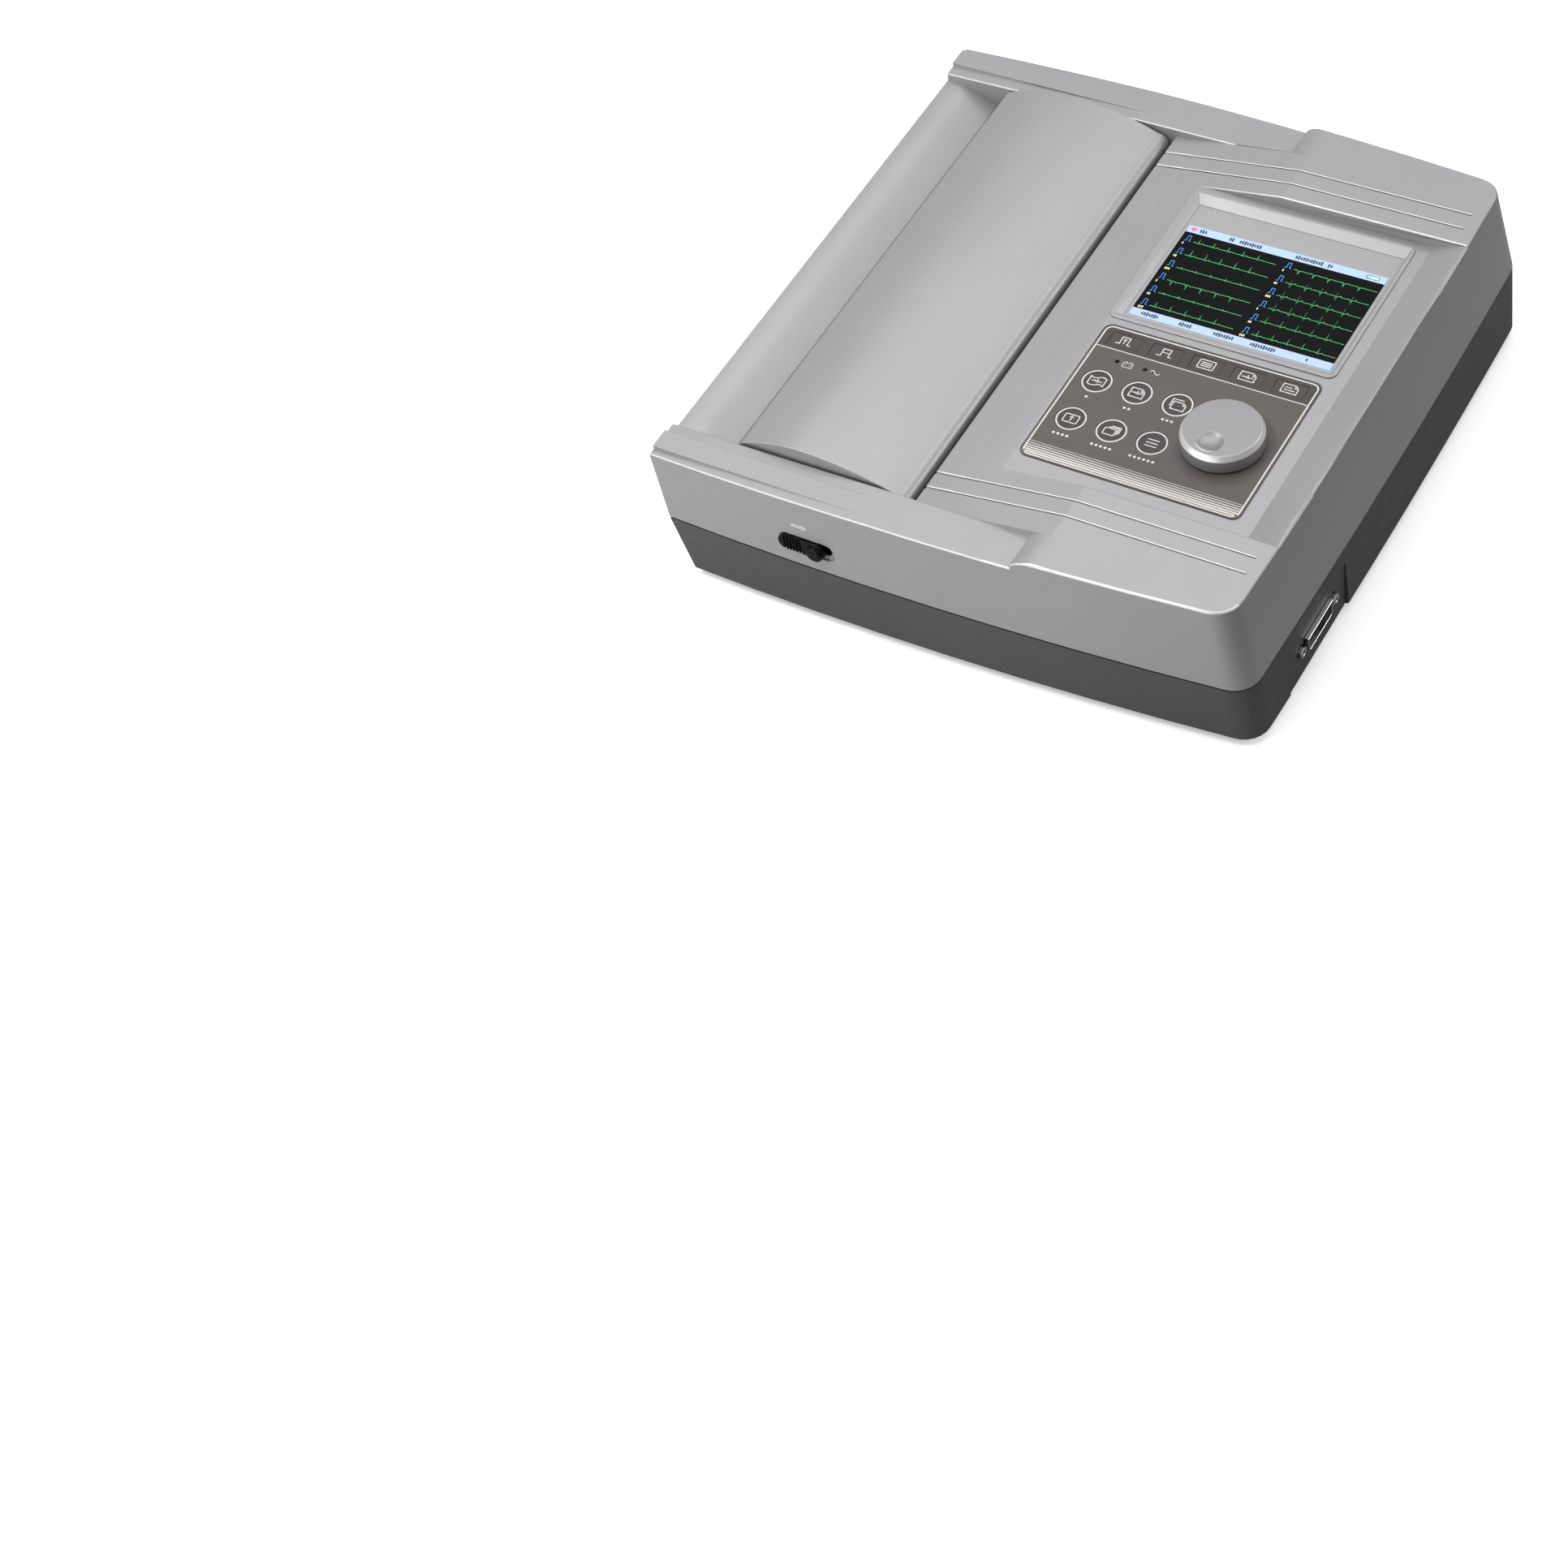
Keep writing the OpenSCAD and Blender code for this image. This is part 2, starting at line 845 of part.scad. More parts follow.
module gear_plate() {
    color("gainsboro")
        difference() {
            union() {
                along_y(-118, -116.5)
                    polygon([[-131, floor_z], [-94, floor_z], [-94, 50], [-99, 54],
                        [-114, 54], [-131, 43]]);
                box(-131, -94, -125, -116.5, floor_z, floor_z + 1.5);
                pin_y(platen_x, idler_z, -123.9, -117, 1.5);
                pin_y(platen_x, idler_z, -124.9, -123.9, 2.6);
            }
            pin_y(pinion_x, pinion_z, -120, -115, 4);
        }
}

module thermal_head() {
    color("white")
        box(-117, -92.6, -108, 108, 53.4, 55.9);
}

module head_heatsink() {
    color("silver")
        difference() {
            box(-117, -94, -107.5, 107.5, 49.4, 53.4);
            for (x = [-114, -109.5, -101.5, -97])
                box(x - 0.8, x + 0.8, -110, 110, 48, 51.8);
        }
}

module head_bracket() {
    color("gainsboro") {
        box(-116, -94, -110, 110, 41, 42.2);
        both_ends()
            box(-105, -94, 108.8, 110, floor_z, 41.5);
        both_ends()
            box(-105, -94, 102, 110, floor_z, floor_z + 1.2);
    }
}

module head_springs() {
    color("silver")
        for (y = [-75, 0, 75])
            translate([-105.5, y, 42.2])
                linear_extrude(height = 7.2, twist = -1440, slices = 40, segments = 6)
                    translate([2.6, 0])
                        circle(0.5, $fn = 6);
}

module paper_tub() {
    color("darkgray")
        difference() {
            union() {
                pin_y(tub_x, tub_z, -112, 112, tub_r);
                box(tub_x - tub_r, tub_x + tub_r, -112, 112, tub_z, 60);
                for (x = [-80, -44])
                    both_ends()
                        box(x, x + 4, 12, 100, floor_z, 20);
            }
            difference() {
                union() {
                    pin_y(tub_x, tub_z, -110, 110, tub_r - 2);
                    box(tub_x - tub_r + 2, tub_x + tub_r - 2, -110, 110, tub_z, 90);
                }
                both_ends()
                    pin_y(tub_x, tub_z, 99, 111, core_bore_r - running_gap);
            }
            box(tub_x - tub_r - 1, tub_x + tub_r + 1, -113, 113, 60, 90);
            both_ends()
                box(-70, -50, 109, 113, 52, 90);
        }
}

module paper_roll() {
    color("white")
        difference() {
            pin_y(tub_x, tub_z, -paper_w / 2, paper_w / 2, roll_r);
            pin_y(tub_x, tub_z, -120, 120, 8);
        }
}

module roll_core() {
    color("tan")
        difference() {
            pin_y(tub_x, tub_z, -paper_w / 2, paper_w / 2, 8);
            pin_y(tub_x, tub_z, -120, 120, core_bore_r);
        }
}

// ---------- electronics ----------

module main_board() {
    z = main_board_z + board_t;
    color("darkgreen")
        difference() {
            union() {
                box(-15, 136, -93, 97, main_board_z, z);
                box(20, 48, -20, 8, z, z + 2.4);
                box(60, 78, -14, 4, z, z + 1.6);
                box(86, 98, -60, -36, z, z + 1.4);
                for (y = [20, 34, 48])
                    box(84, 96, y, y + 9, z, z + 1.2);
                box(52, 84, 62, 68, z, z + 5);
                box(45, 52, 28, 52, z, z + 3);
                box(37, 44, -72, -54, z, z + 3);
                box(-14.8, -11, -12, 12, z, z + 3);
                for (x = [0, 12, 24])
                    post(x, 66, z, z + 11, 5);
                box(110, 134, 20, 60, z, z + 8);
            }
            for (p = board_spots)
                post(p[0], p[1], 30, 38, 1.3);
        }
}

module board_screw(p, z) {
    translate([p[0], p[1], z])
        difference() {
            union() {
                cylinder(h = 6, r = 1.18);
                translate([0, 0, 5.2])
                    cylinder(h = 1.8, r = 2.6);
            }
            translate([0, 0, 6])
                cylinder(h = 2, r = 1.2, $fn = 6);
        }
}

module board_screws() {
    color("silver") {
        for (p = board_spots)
            board_screw(p, main_board_z + board_t - 5.2);
        for (p = low_board_spots)
            board_screw(p, low_board_z + board_t - 5.2);
    }
}

module low_board_holes() {
    for (p = low_board_spots)
        post(p[0], p[1], low_board_z - 1, low_board_z + 3, 1.3);
}

module front_end_board() {
    top = low_board_z + board_t;
    color("darkgreen")
        difference() {
            union() {
                box(97, 142, -110, -54, low_board_z, top);
                box(105, 128, -101, -63, top - 0.1, 22);
            }
            low_board_holes();
        }
}

module power_board() {
    top = low_board_z + board_t;
    color("darkgreen")
        difference() {
            union() {
                box(34, 124, 60, 116, low_board_z, top);
                box(36, 54, 115, 136, low_board_z, top);
                box(44, 72, 66, 92, top - 0.1, 31);
                for (x = [84, 100])
                    post(x, 78, top - 0.1, 31, 7);
                box(80, 112, 98, 101, top - 0.1, 30);
            }
            low_board_holes();
        }
}

module battery_pack() {
    color("royalblue")
        box(0, 90, -100, -40, floor_z - 0.1, 27);
}

module battery_door() {
    color("dimgray")
        difference() {
            box(-1.8, 91.8, -101.8, -38.2, foot_h, floor_z - 0.1);
            for (i = [0:4])
                box(80 + i * 2, 81 + i * 2, -80, -60, 3, foot_h + 0.6);
        }
}

module speaker() {
    color("black")
        difference() {
            union() {
                post(-114, 70, floor_z, 9, 15);
                post(-114, 70, 9, 15, 11);
            }
            translate([-114, 70, -10])
                sphere(r = 20.5);
        }
}

// Flat cables: to the screen, to the keypad and to the print head
module ribbon_cables() {
    plug_z = main_board_z + board_t + 3;
    color("lightgray") {
        along_y(30, 50)
            polygon([[58, 66.5], [58, 56], [48, 46], [48, plug_z], [48.4, plug_z], [48.4, 45.8],
                [58.4, 55.8], [58.4, 66.5]]);
        along_y(-70, -56)
            polygon([[30, board_z], [30, 58], [40, 48], [40, plug_z], [40.4, plug_z], [40.4, 48.2],
                [30.4, 58.2], [30.4, board_z]]);
        along_y(-10, 10)
            polygon([[-93, 53.4], [-93, 6.7], [-18, 6.7], [-18, 41], [-13, 41], [-13, plug_z],
                [-12.6, plug_z], [-12.6, 41.4], [-18.4, 41.4], [-18.4, 7.1], [-92.6, 7.1], [-92.6, 53.4]]);
    }
}

// ---------- connectors ----------

module d_outline(w, h) {
    polygon([[-w / 2, h / 2], [w / 2, h / 2], [w / 2 - 1.3, -h / 2], [-w / 2 + 1.3, -h / 2]]);
}

module lead_socket() {
    color("silver")
        translate([0, socket_y, socket_z])
            difference() {
                union() {
                    along_x(socket_x - 4, socket_x - 3)
                        translate([-19.6, -6.2])
                            square([39.2, 12.4]);
                    along_x(socket_x - 3.1, 149.4)
                        d_outline(25, 8.4);
                    along_x(130, socket_x - 3.9)
                        translate([-14, -5.6])
                            square([28, 11]);
                }
                along_x(socket_x - 1.5, 150)
                    d_outline(24, 7.4);
                for (i = [0:7])
                    pin_x(-9.7 + i * 2.77, 1.4, 140, 148, 0.55);
                for (i = [0:6])
                    pin_x(-8.3 + i * 2.77, -1.4, 140, 148, 0.55);
                for (s = [-1, 1])
                    pin_x(s * socket_pitch / 2, 0, 142, 145, 1.5);
            }
}

module lead_jackscrews() {
    color("silver")
        for (s = [-1, 1])
            translate([0, socket_y + s * socket_pitch / 2, socket_z])
                difference() {
                    union() {
                        translate([socket_x - 3, 0, 0])
                            rotate([0, 90, 0])
                                cylinder(h = 5, r = 2.75, $fn = 6);
                        pin_x(0, 0, 140, socket_x - 2.5, 1.42);
                    }
                    pin_x(0, 0, 145.2, 150, 1.42);
                }
}

module mains_inlet() {
    color("black")
        difference() {
            union() {
                box(90, 116, 122, rear_y, 12.5, 31.5);
                box(88.6, 117.4, rear_y, rear_y + 2, 10.6, 33.4);
            }
            along_y(128, rear_y + 3)
                polygon([[91.5, 14], [114.5, 14], [114.5, 25], [109.5, 30], [96.5, 30], [91.5, 25]]);
        }
    color("gainsboro")
        for (x = [96, 103, 110])
            box(x - 1, x + 1, 125, 138, x == 103 ? 24.4 : 18, x == 103 ? 28.4 : 22);
}

module switch_housing() {
    color("black")
        difference() {
            union() {
                box(73.5, 86.5, 124, rear_y, 12.1, 31.9);
                box(72.3, 87.7, rear_y, rear_y + 1.8, 10.8, 33.2);
            }
            box(74.8, 85.2, 127, rear_y + 3, 12.9, 31.1);
            pin_x(rear_y - 4, 22, 73, 87, 1.2 + running_gap);
        }
}

module power_rocker() {
    color("black")
        translate([0, rear_y - 4, 22])
            rotate([-8, 0, 0]) {
                along_x(75, 85)
                    polygon([[2, -8.2], [6.6, -8.2], [4.6, 0], [6.6, 8.2], [2, 8.2], [-5, 3], [-5, -3]]);
                pin_x(0, 0, 73.9, 86.1, 1.2);
            }
}

module earth_pin() {
    color("gold") {
        pin_y(63, 22, rear_y, 155.5, 3);
        pin_y(63, 22, rear_y - 8, rear_y + 0.5, 2.5);
        along_y(rear_y - wall - 3, rear_y - wall)
            translate([63, 22])
                circle(4.6, $fn = 6);
    }
}

module data_jack() {
    color("gainsboro")
        difference() {
            union() {
                box(38, 52, 122, rear_y + 1, 15, 28);
                box(39, 51, 123, rear_y - 4, low_board_z + board_t, 15.1);
            }
            box(39.2, 50.8, 128, rear_y + 2, 16.2, 23.5);
            box(42.5, 47.5, 128, rear_y + 2, 23, 26.5);
        }
}

upper_shell();
lower_shell();
screen_bezel();
screen_glass();
lcd_module();
keypad_overlay();
wave_key();
record_key();
copy_key();
home_key();
view_key();
menu_key();
soft_key(soft_key_x[0]);  // soft_key_1
soft_key(soft_key_x[1]);  // soft_key_2
soft_key(soft_key_x[2]);  // soft_key_3
soft_key(soft_key_x[3]);  // soft_key_4
soft_key(soft_key_x[4]);  // soft_key_5
keypad_board();
key_domes();
status_leds();
jog_dial();
encoder_shaft();
encoder_plunger();
encoder_body();
latch_slider();
paper_door();
hinge_pins();
platen_roller();
platen_shaft();
platen_gear();
platen_bushes();
thermal_head();
head_heatsink();
head_bracket();
head_springs();
gear_plate();
idler_gear();
motor_pinion();
motor_shaft();
stepper_motor();
paper_tub();
paper_roll();
roll_core();
main_board();
board_screws();
front_end_board();
power_board();
battery_pack();
battery_door();
speaker();
ribbon_cables();
lead_socket();
lead_jackscrews();
mains_inlet();
switch_housing();
power_rocker();
earth_pin();
data_jack();
rubber_feet();
case_screws();
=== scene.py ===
"""Looks for the portable ECG machine: finishes, softened case edges, printed marks, the lit screen
and the studio."""
import json
import math

import bmesh
import bpy
from mathutils import Matrix, Vector
from mathutils.bvhtree import BVHTree


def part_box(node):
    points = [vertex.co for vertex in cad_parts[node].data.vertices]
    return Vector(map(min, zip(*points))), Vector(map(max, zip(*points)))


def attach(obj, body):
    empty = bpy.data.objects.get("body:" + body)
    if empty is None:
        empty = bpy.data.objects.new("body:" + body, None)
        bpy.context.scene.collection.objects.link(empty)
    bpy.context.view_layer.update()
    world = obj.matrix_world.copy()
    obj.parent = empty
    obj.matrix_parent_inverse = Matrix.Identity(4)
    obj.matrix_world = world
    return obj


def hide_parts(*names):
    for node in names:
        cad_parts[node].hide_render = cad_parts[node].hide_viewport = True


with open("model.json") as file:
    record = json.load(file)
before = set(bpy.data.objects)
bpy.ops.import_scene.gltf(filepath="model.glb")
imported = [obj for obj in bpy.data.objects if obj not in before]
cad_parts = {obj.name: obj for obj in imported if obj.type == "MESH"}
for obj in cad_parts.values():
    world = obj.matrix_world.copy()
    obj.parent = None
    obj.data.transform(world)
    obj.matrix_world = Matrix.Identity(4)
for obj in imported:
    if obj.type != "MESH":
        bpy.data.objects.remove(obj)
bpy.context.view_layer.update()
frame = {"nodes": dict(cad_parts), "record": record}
NODES = frame["nodes"]
BODY_OF = {node: body for body, nodes in frame["record"]["behaviour"]["bodies"].items() for node in nodes}
SLOT_OF = {part["node"]: part["material_slot"] for part in frame["record"]["subparts"]}
MM = 0.001
TINY = 1e-9                 # keeps a length clear of zero before it divides an area


# ---------------------------------------------------------------- materials

class Finish:
    """One material's node tree, with short calls for the nodes that every finish uses."""

    def __init__(self, name):
        self.material = bpy.data.materials.new(name)
        self.material.use_nodes = True
        self.tree = self.material.node_tree
        self.tree.nodes.clear()
        self.shader = self.node("ShaderNodeBsdfPrincipled")
        output = self.node("ShaderNodeOutputMaterial")
        self.join(self.shader.outputs[0], output.inputs[0])
        self.place = self.node("ShaderNodeTexCoord").outputs["Object"]

    def node(self, kind, **settings):
        made = self.tree.nodes.new(kind)
        for key, value in settings.items():
            setattr(made, key, value)
        return made

    def join(self, source, target):
        self.tree.links.new(source, target)

    def set(self, **values):
        for key, value in values.items():
            self.shader.inputs[key.replace("_", " ")].default_value = value

    def grain(self, size_mm, detail=2.0, stretch=(1, 1, 1)):
        """Noise whose blobs are about size_mm across, stretched along an axis by a factor below 1."""
        mapping = self.node("ShaderNodeMapping")
        mapping.inputs["Scale"].default_value = [s / (size_mm * MM) for s in stretch]
        self.join(self.place, mapping.inputs[0])
        made = self.node("ShaderNodeTexNoise")
        made.inputs["Scale"].default_value = 1.0
        made.inputs["Detail"].default_value = detail
        self.join(mapping.outputs[0], made.inputs["Vector"])
        return made.outputs["Fac"]

    def spread(self, source, low, high):
        """Maps the middle of a noise to the range low to high."""
        made = self.node("ShaderNodeMapRange")
        made.inputs["From Min"].default_value = 0.3
        made.inputs["From Max"].default_value = 0.7
        made.inputs["To Min"].default_value = low
        made.inputs["To Max"].default_value = high
        self.join(source, made.inputs["Value"])
        return made.outputs["Result"]

    def tint(self, colour, *factors):
        """Base colour times every factor."""
        value = None
        for factor in factors:
            if value is None:
                value = factor
                continue
            product = self.node("ShaderNodeMath", operation="MULTIPLY")
            self.join(value, product.inputs[0])
            self.join(factor, product.inputs[1])
            value = product.outputs[0]
        made = self.node("ShaderNodeVectorMath", operation="SCALE")
        made.inputs[0].default_value = colour
        self.join(value, made.inputs["Scale"])
        self.join(made.outputs[0], self.shader.inputs["Base Color"])
        return made.outputs[0]

    def relief(self, source, height_mm, round_mm=0.0):
        """Bump of a real height over edges rounded by round_mm."""
        bump = self.node("ShaderNodeBump")
        bump.inputs["Strength"].default_value = 1.0
        bump.inputs["Distance"].default_value = height_mm * MM
        self.join(source, bump.inputs["Height"])
        if round_mm:
            bevel = self.node("ShaderNodeBevel", samples=4)
            bevel.inputs["Radius"].default_value = round_mm * MM
            self.join(bevel.outputs[0], bump.inputs["Normal"])
        self.join(bump.outputs[0], self.shader.inputs["Normal"])


def painted(name, colour, metallic, roughness, fleck_mm=0.35, fleck=0.05, relief_mm=0.012, round_mm=0.3,
            coat=0.0):
    """Metallic paint on plastic: fine bright flecks, slow unevenness and a faint orange peel."""
    f = Finish(name)
    flecks = f.spread(f.grain(fleck_mm, 1.0), 1 - fleck, 1 + fleck)
    cloud = f.spread(f.grain(70.0, 2.0), 0.985, 1.015)
    f.tint(colour, flecks, cloud)
    f.join(f.spread(f.grain(18.0, 3.0), roughness - 0.03, roughness + 0.03), f.shader.inputs["Roughness"])
    f.set(Metallic=metallic, Specular_IOR_Level=0.5, Coat_Weight=coat, Coat_Roughness=0.16)
    f.relief(f.grain(0.5, 2.0), relief_mm, round_mm)
    return f.material


def moulded(name, colour, roughness, texture_mm=0.45, relief_mm=0.02, shade=0.08, round_mm=0.2, coat=0.0,
            gloss=0.5):
    """Moulded plastic or rubber with a spark-eroded texture."""
    f = Finish(name)
    f.tint(colour, f.spread(f.grain(texture_mm, 3.0), 1 - shade, 1 + shade),
           f.spread(f.grain(45.0, 2.0), 0.96, 1.04))
    f.join(f.spread(f.grain(6.0, 3.0), roughness - 0.05, roughness + 0.05), f.shader.inputs["Roughness"])
    f.set(Coat_Weight=coat, Specular_IOR_Level=gloss)
    f.relief(f.grain(texture_mm, 3.0), relief_mm, round_mm)
    return f.material


def metal(name, colour, roughness, brush=(1, 1, 1), brush_mm=0.25, relief_mm=0.004, round_mm=0.1):
    """Bare metal; brush below 1 along an axis stretches the grain that way."""
    f = Finish(name)
    lines = f.grain(brush_mm, 2.0, brush)
    f.tint(colour, f.spread(lines, 0.9, 1.08))
    f.join(f.spread(lines, roughness - 0.08, roughness + 0.08), f.shader.inputs["Roughness"])
    f.set(Metallic=1.0)
    f.relief(lines, relief_mm, round_mm)
    return f.material


def overlay_film(name, colour, dark, strip_y):
    """Printed keypad film: satin, finely grained, with a darker band behind the line at strip_y."""
    f = Finish(name)
    split = f.node("ShaderNodeSeparateXYZ")
    f.join(f.place, split.inputs[0])
    behind = f.node("ShaderNodeMath", operation="GREATER_THAN")
    behind.inputs[1].default_value = strip_y
    f.join(split.outputs["Y"], behind.inputs[0])
    mix = f.node("ShaderNodeMix", data_type="RGBA")
    mix.inputs["A"].default_value = (*colour, 1)
    mix.inputs["B"].default_value = (*dark, 1)
    f.join(behind.outputs[0], mix.inputs["Factor"])
    scale = f.node("ShaderNodeVectorMath", operation="SCALE")
    f.join(mix.outputs["Result"], scale.inputs[0])
    f.join(f.spread(f.grain(0.3, 2.0), 0.94, 1.06), scale.inputs["Scale"])
    f.join(scale.outputs[0], f.shader.inputs["Base Color"])
    f.join(f.spread(f.grain(9.0), 0.44, 0.52), f.shader.inputs["Roughness"])
    f.relief(f.grain(0.25, 1.0), 0.006, 0.12)
    return f.material


def screen_black(name):
    """Unlit liquid crystal panel behind a hard cover glass."""
    f = Finish(name)
    f.tint((0.003, 0.0035, 0.004), f.spread(f.grain(0.3), 0.9, 1.1))
    f.join(f.spread(f.grain(30.0), 0.30, 0.36), f.shader.inputs["Roughness"])
    f.set(Specular_IOR_Level=0.06)
    return f.material


def lit(name, colour, strength):
    """A lit area of the screen, with the faint dot pattern of its pixels."""
    f = Finish(name)
    dots = f.spread(f.grain(0.28, 0.0), 0.85, 1.1)
    tone = f.tint(colour, dots)
    f.join(tone, f.shader.inputs["Emission Color"])
    f.set(Emission_Strength=strength, Roughness=0.4, Specular_IOR_Level=0.2)
    return f.material


def ink(name, colour):
    """Screen-printed ink, slightly uneven."""
    f = Finish(name)
    f.tint(colour, f.spread(f.grain(0.4, 3.0), 0.9, 1.06))
    f.join(f.spread(f.grain(2.0), 0.45, 0.6), f.shader.inputs["Roughness"])
    return f.material


def studio_floor(name):
    """White to the camera and clear from below. As a source of bounced light it is a mid grey that
    turns black on the right, which keeps the right-hand side of the case dark."""
    f = Finish(name)
    path = f.node("ShaderNodeLightPath").outputs["Is Camera Ray"]
    shade = f.node("ShaderNodeMapRange")
    side = f.node("ShaderNodeSeparateXYZ")
    f.join(f.place, side.inputs[0])
    fade = f.node("ShaderNodeMapRange")
    fade.inputs["From Min"].default_value = 0.05
    fade.inputs["From Max"].default_value = 0.3
    fade.inputs["To Min"].default_value = 0.45
    fade.inputs["To Max"].default_value = 0.03
    f.join(side.outputs["X"], fade.inputs["Value"])
    f.join(fade.outputs["Result"], shade.inputs["To Min"])
    shade.inputs["To Max"].default_value = 0.9
    f.join(path, shade.inputs["Value"])
    tone = f.tint((1, 1, 1), shade.outputs["Result"], f.spread(f.grain(3.0), 0.995, 1.005))
    glow = f.node("ShaderNodeMath", operation="MULTIPLY")
    glow.inputs[1].default_value = 0.38
    f.join(path, glow.inputs[0])
    f.join(tone, f.shader.inputs["Emission Color"])
    f.join(glow.outputs[0], f.shader.inputs["Emission Strength"])
    above = f.node("ShaderNodeMath", operation="SUBTRACT")
    above.inputs[0].default_value = 1.0
    f.join(f.node("ShaderNodeNewGeometry").outputs["Backfacing"], above.inputs[1])
    f.join(above.outputs[0], f.shader.inputs["Alpha"])
    f.set(Roughness=0.8, Specular_IOR_Level=0.1)
    return f.material


def wound(name, colour):
    """Edge of wound paper or card: fine rings around the roll axis."""
    f = Finish(name)
    f.tint(colour, f.spread(f.grain(0.2, 2.0, (1, 0.02, 1)), 0.93, 1.03))
    f.join(f.spread(f.grain(3.0), 0.7, 0.85), f.shader.inputs["Roughness"])
    f.relief(f.grain(0.3, 2.0, (1, 0.02, 1)), 0.01)
    return f.material


# The line on the keypad film between the soft keys and the round keys.
STRIP_Y = -13.8 * MM

FINISH = {
    "silver_paint": painted("silver_paint", (0.285, 0.285, 0.295), 0.3, 0.42, coat=0.2),
    # painted highlight: a lighter copy of the silver paint for narrow edges, the dial chamfer and the latch
    # arrow
    "painted_highlight": painted("painted_highlight", (0.50, 0.50, 0.51), 0.3, 0.34, fleck=0.03, coat=0.3),
    "dial_silver": painted("dial_silver", (0.24, 0.24, 0.25), 0.5, 0.36, fleck_mm=0.2, fleck=0.03),
    "dark_shell": moulded("dark_shell", (0.052, 0.052, 0.054), 0.50),
    "overlay": overlay_film("overlay", (0.070, 0.058, 0.052), (0.034, 0.028, 0.025), STRIP_Y),
    "strip_film": moulded("strip_film", (0.034, 0.028, 0.025), 0.46, 0.3, 0.006, 0.06, 0.12),
    "key_film": moulded("key_film", (0.026, 0.022, 0.020), 0.45, 0.3, 0.006, 0.06, 0.15),
    "screen_glass": screen_black("screen_glass"),
    "screen_border": painted("screen_border", (0.30, 0.30, 0.305), 0.1, 0.42, fleck=0.02, relief_mm=0.004),
    "print_ink": ink("print_ink", (0.56, 0.54, 0.51)),
    # painted highlight along the rear edges of the deck grooves
    "groove_highlight_paint": painted("groove_highlight_paint", (0.74, 0.74, 0.75), 0.1, 0.35, relief_mm=0.003),
    # also used as painted shade on the upper shell's rim in the seam
    "dark_metal": painted("dark_metal", (0.05, 0.05, 0.055), 0.3, 0.5),
    "circuit_board": moulded("circuit_board", (0.012, 0.09, 0.03), 0.35, 1.2, 0.02, 0.15),
    "steel": metal("steel", (0.55, 0.55, 0.56), 0.32, (1, 0.1, 1)),
    "aluminium": metal("aluminium", (0.72, 0.72, 0.73), 0.35, (1, 0.08, 1)),
    "brass": metal("brass", (0.72, 0.52, 0.20), 0.28),
    "chrome": metal("chrome", (0.80, 0.80, 0.80), 0.14),
    "black_plastic": moulded("black_plastic", (0.002, 0.002, 0.0025), 0.1, 0.8, 0.001, 0.05, gloss=0.12),
    "white_plastic": moulded("white_plastic", (0.72, 0.72, 0.68), 0.4, 0.5, 0.008, 0.03),
    "roller_rubber": moulded("roller_rubber", (0.02, 0.02, 0.02), 0.7, 0.3, 0.015, 0.1),
    "foot_rubber": moulded("foot_rubber", (0.015, 0.015, 0.015), 0.75, 0.5, 0.02, 0.1, 0.5),
    "paper": wound("paper", (0.80, 0.78, 0.75)),
    "card": wound("card", (0.42, 0.28, 0.16)),
    "battery_wrap": moulded("battery_wrap", (0.03, 0.10, 0.32), 0.3, 2.0, 0.03, 0.06, 0.6, coat=0.5),
    "cable": moulded("cable", (0.45, 0.45, 0.46), 0.45, 0.6, 0.02, 0.1),
    "line_green": lit("line_green", (0.07, 0.42, 0.12), 0.8),
    "pulse_blue": lit("pulse_blue", (0.05, 0.20, 0.55), 0.9),
    "lead_yellow": lit("lead_yellow", (0.62, 0.60, 0.30), 0.8),
    "bar_blue": lit("bar_blue", (0.34, 0.45, 0.62), 0.32),
    "bar_mark": lit("bar_mark", (0.03, 0.04, 0.06), 0.3),
    "heart_red": lit("heart_red", (0.75, 0.10, 0.22), 0.7),
    "floor": studio_floor("floor"),
    "battery_teal": lit("battery_teal", (0.35, 0.65, 0.62), 0.7),
}


# ---------------------------------------------------------------- mesh helpers

def box_mm(node):
    """Lowest and highest corner of a CAD node, in millimetres."""
    low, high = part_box(node)
    return low / MM, high / MM


def centre_mm(node):
    low, high = box_mm(node)
    return (low + high) / 2


def crease(shape, wide_mm=4.0, narrow_mm=1.6, bend_deg=3.0, sharp_deg=35.0, narrow_deg=50.0):
    """Smooths narrow strips and curves but keeps every bend between two wide faces crisp."""
    for face in shape.faces:
        face.smooth = True
    for edge in shape.edges:
        if len(edge.link_faces) == 2:
            angle = math.degrees(edge.calc_face_angle(0))
            limit = narrow_deg if room(edge) < narrow_mm else sharp_deg
            edge.smooth = angle < bend_deg or (angle < limit and room(edge) < wide_mm)


def add_piece(name, shape, body, finish, replaces=(), more=()):
    """Turns a bmesh, in metres, into a shown piece that rides on a body. Faces with material
    number 1 or 2 get the first or second of the further finishes."""
    mesh = bpy.data.meshes.new(name)
    bmesh.ops.recalc_face_normals(shape, faces=shape.faces)
    crease(shape)
    shape.to_mesh(mesh)
    shape.free()
    for wanted in (finish, *more):
        mesh.materials.append(FINISH[wanted])
    piece = bpy.data.objects.new(name, mesh)
    bpy.context.scene.collection.objects.link(piece)
    flat = piece.modifiers.new("even_normals", "WEIGHTED_NORMAL")
    flat.keep_sharp = True
    flat.weight = 90
    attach(piece, body)
    if replaces:
        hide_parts(*replaces)


def cad_shape(node):
    """A welded copy of a CAD node with its flat faces merged, ready for bevels."""
    shape = bmesh.new()
    shape.from_mesh(NODES[node].data)
    bmesh.ops.remove_doubles(shape, verts=shape.verts, dist=0.002 * MM)
    bmesh.ops.dissolve_limit(shape, angle_limit=math.radians(0.15), verts=shape.verts, edges=shape.edges)
    return shape


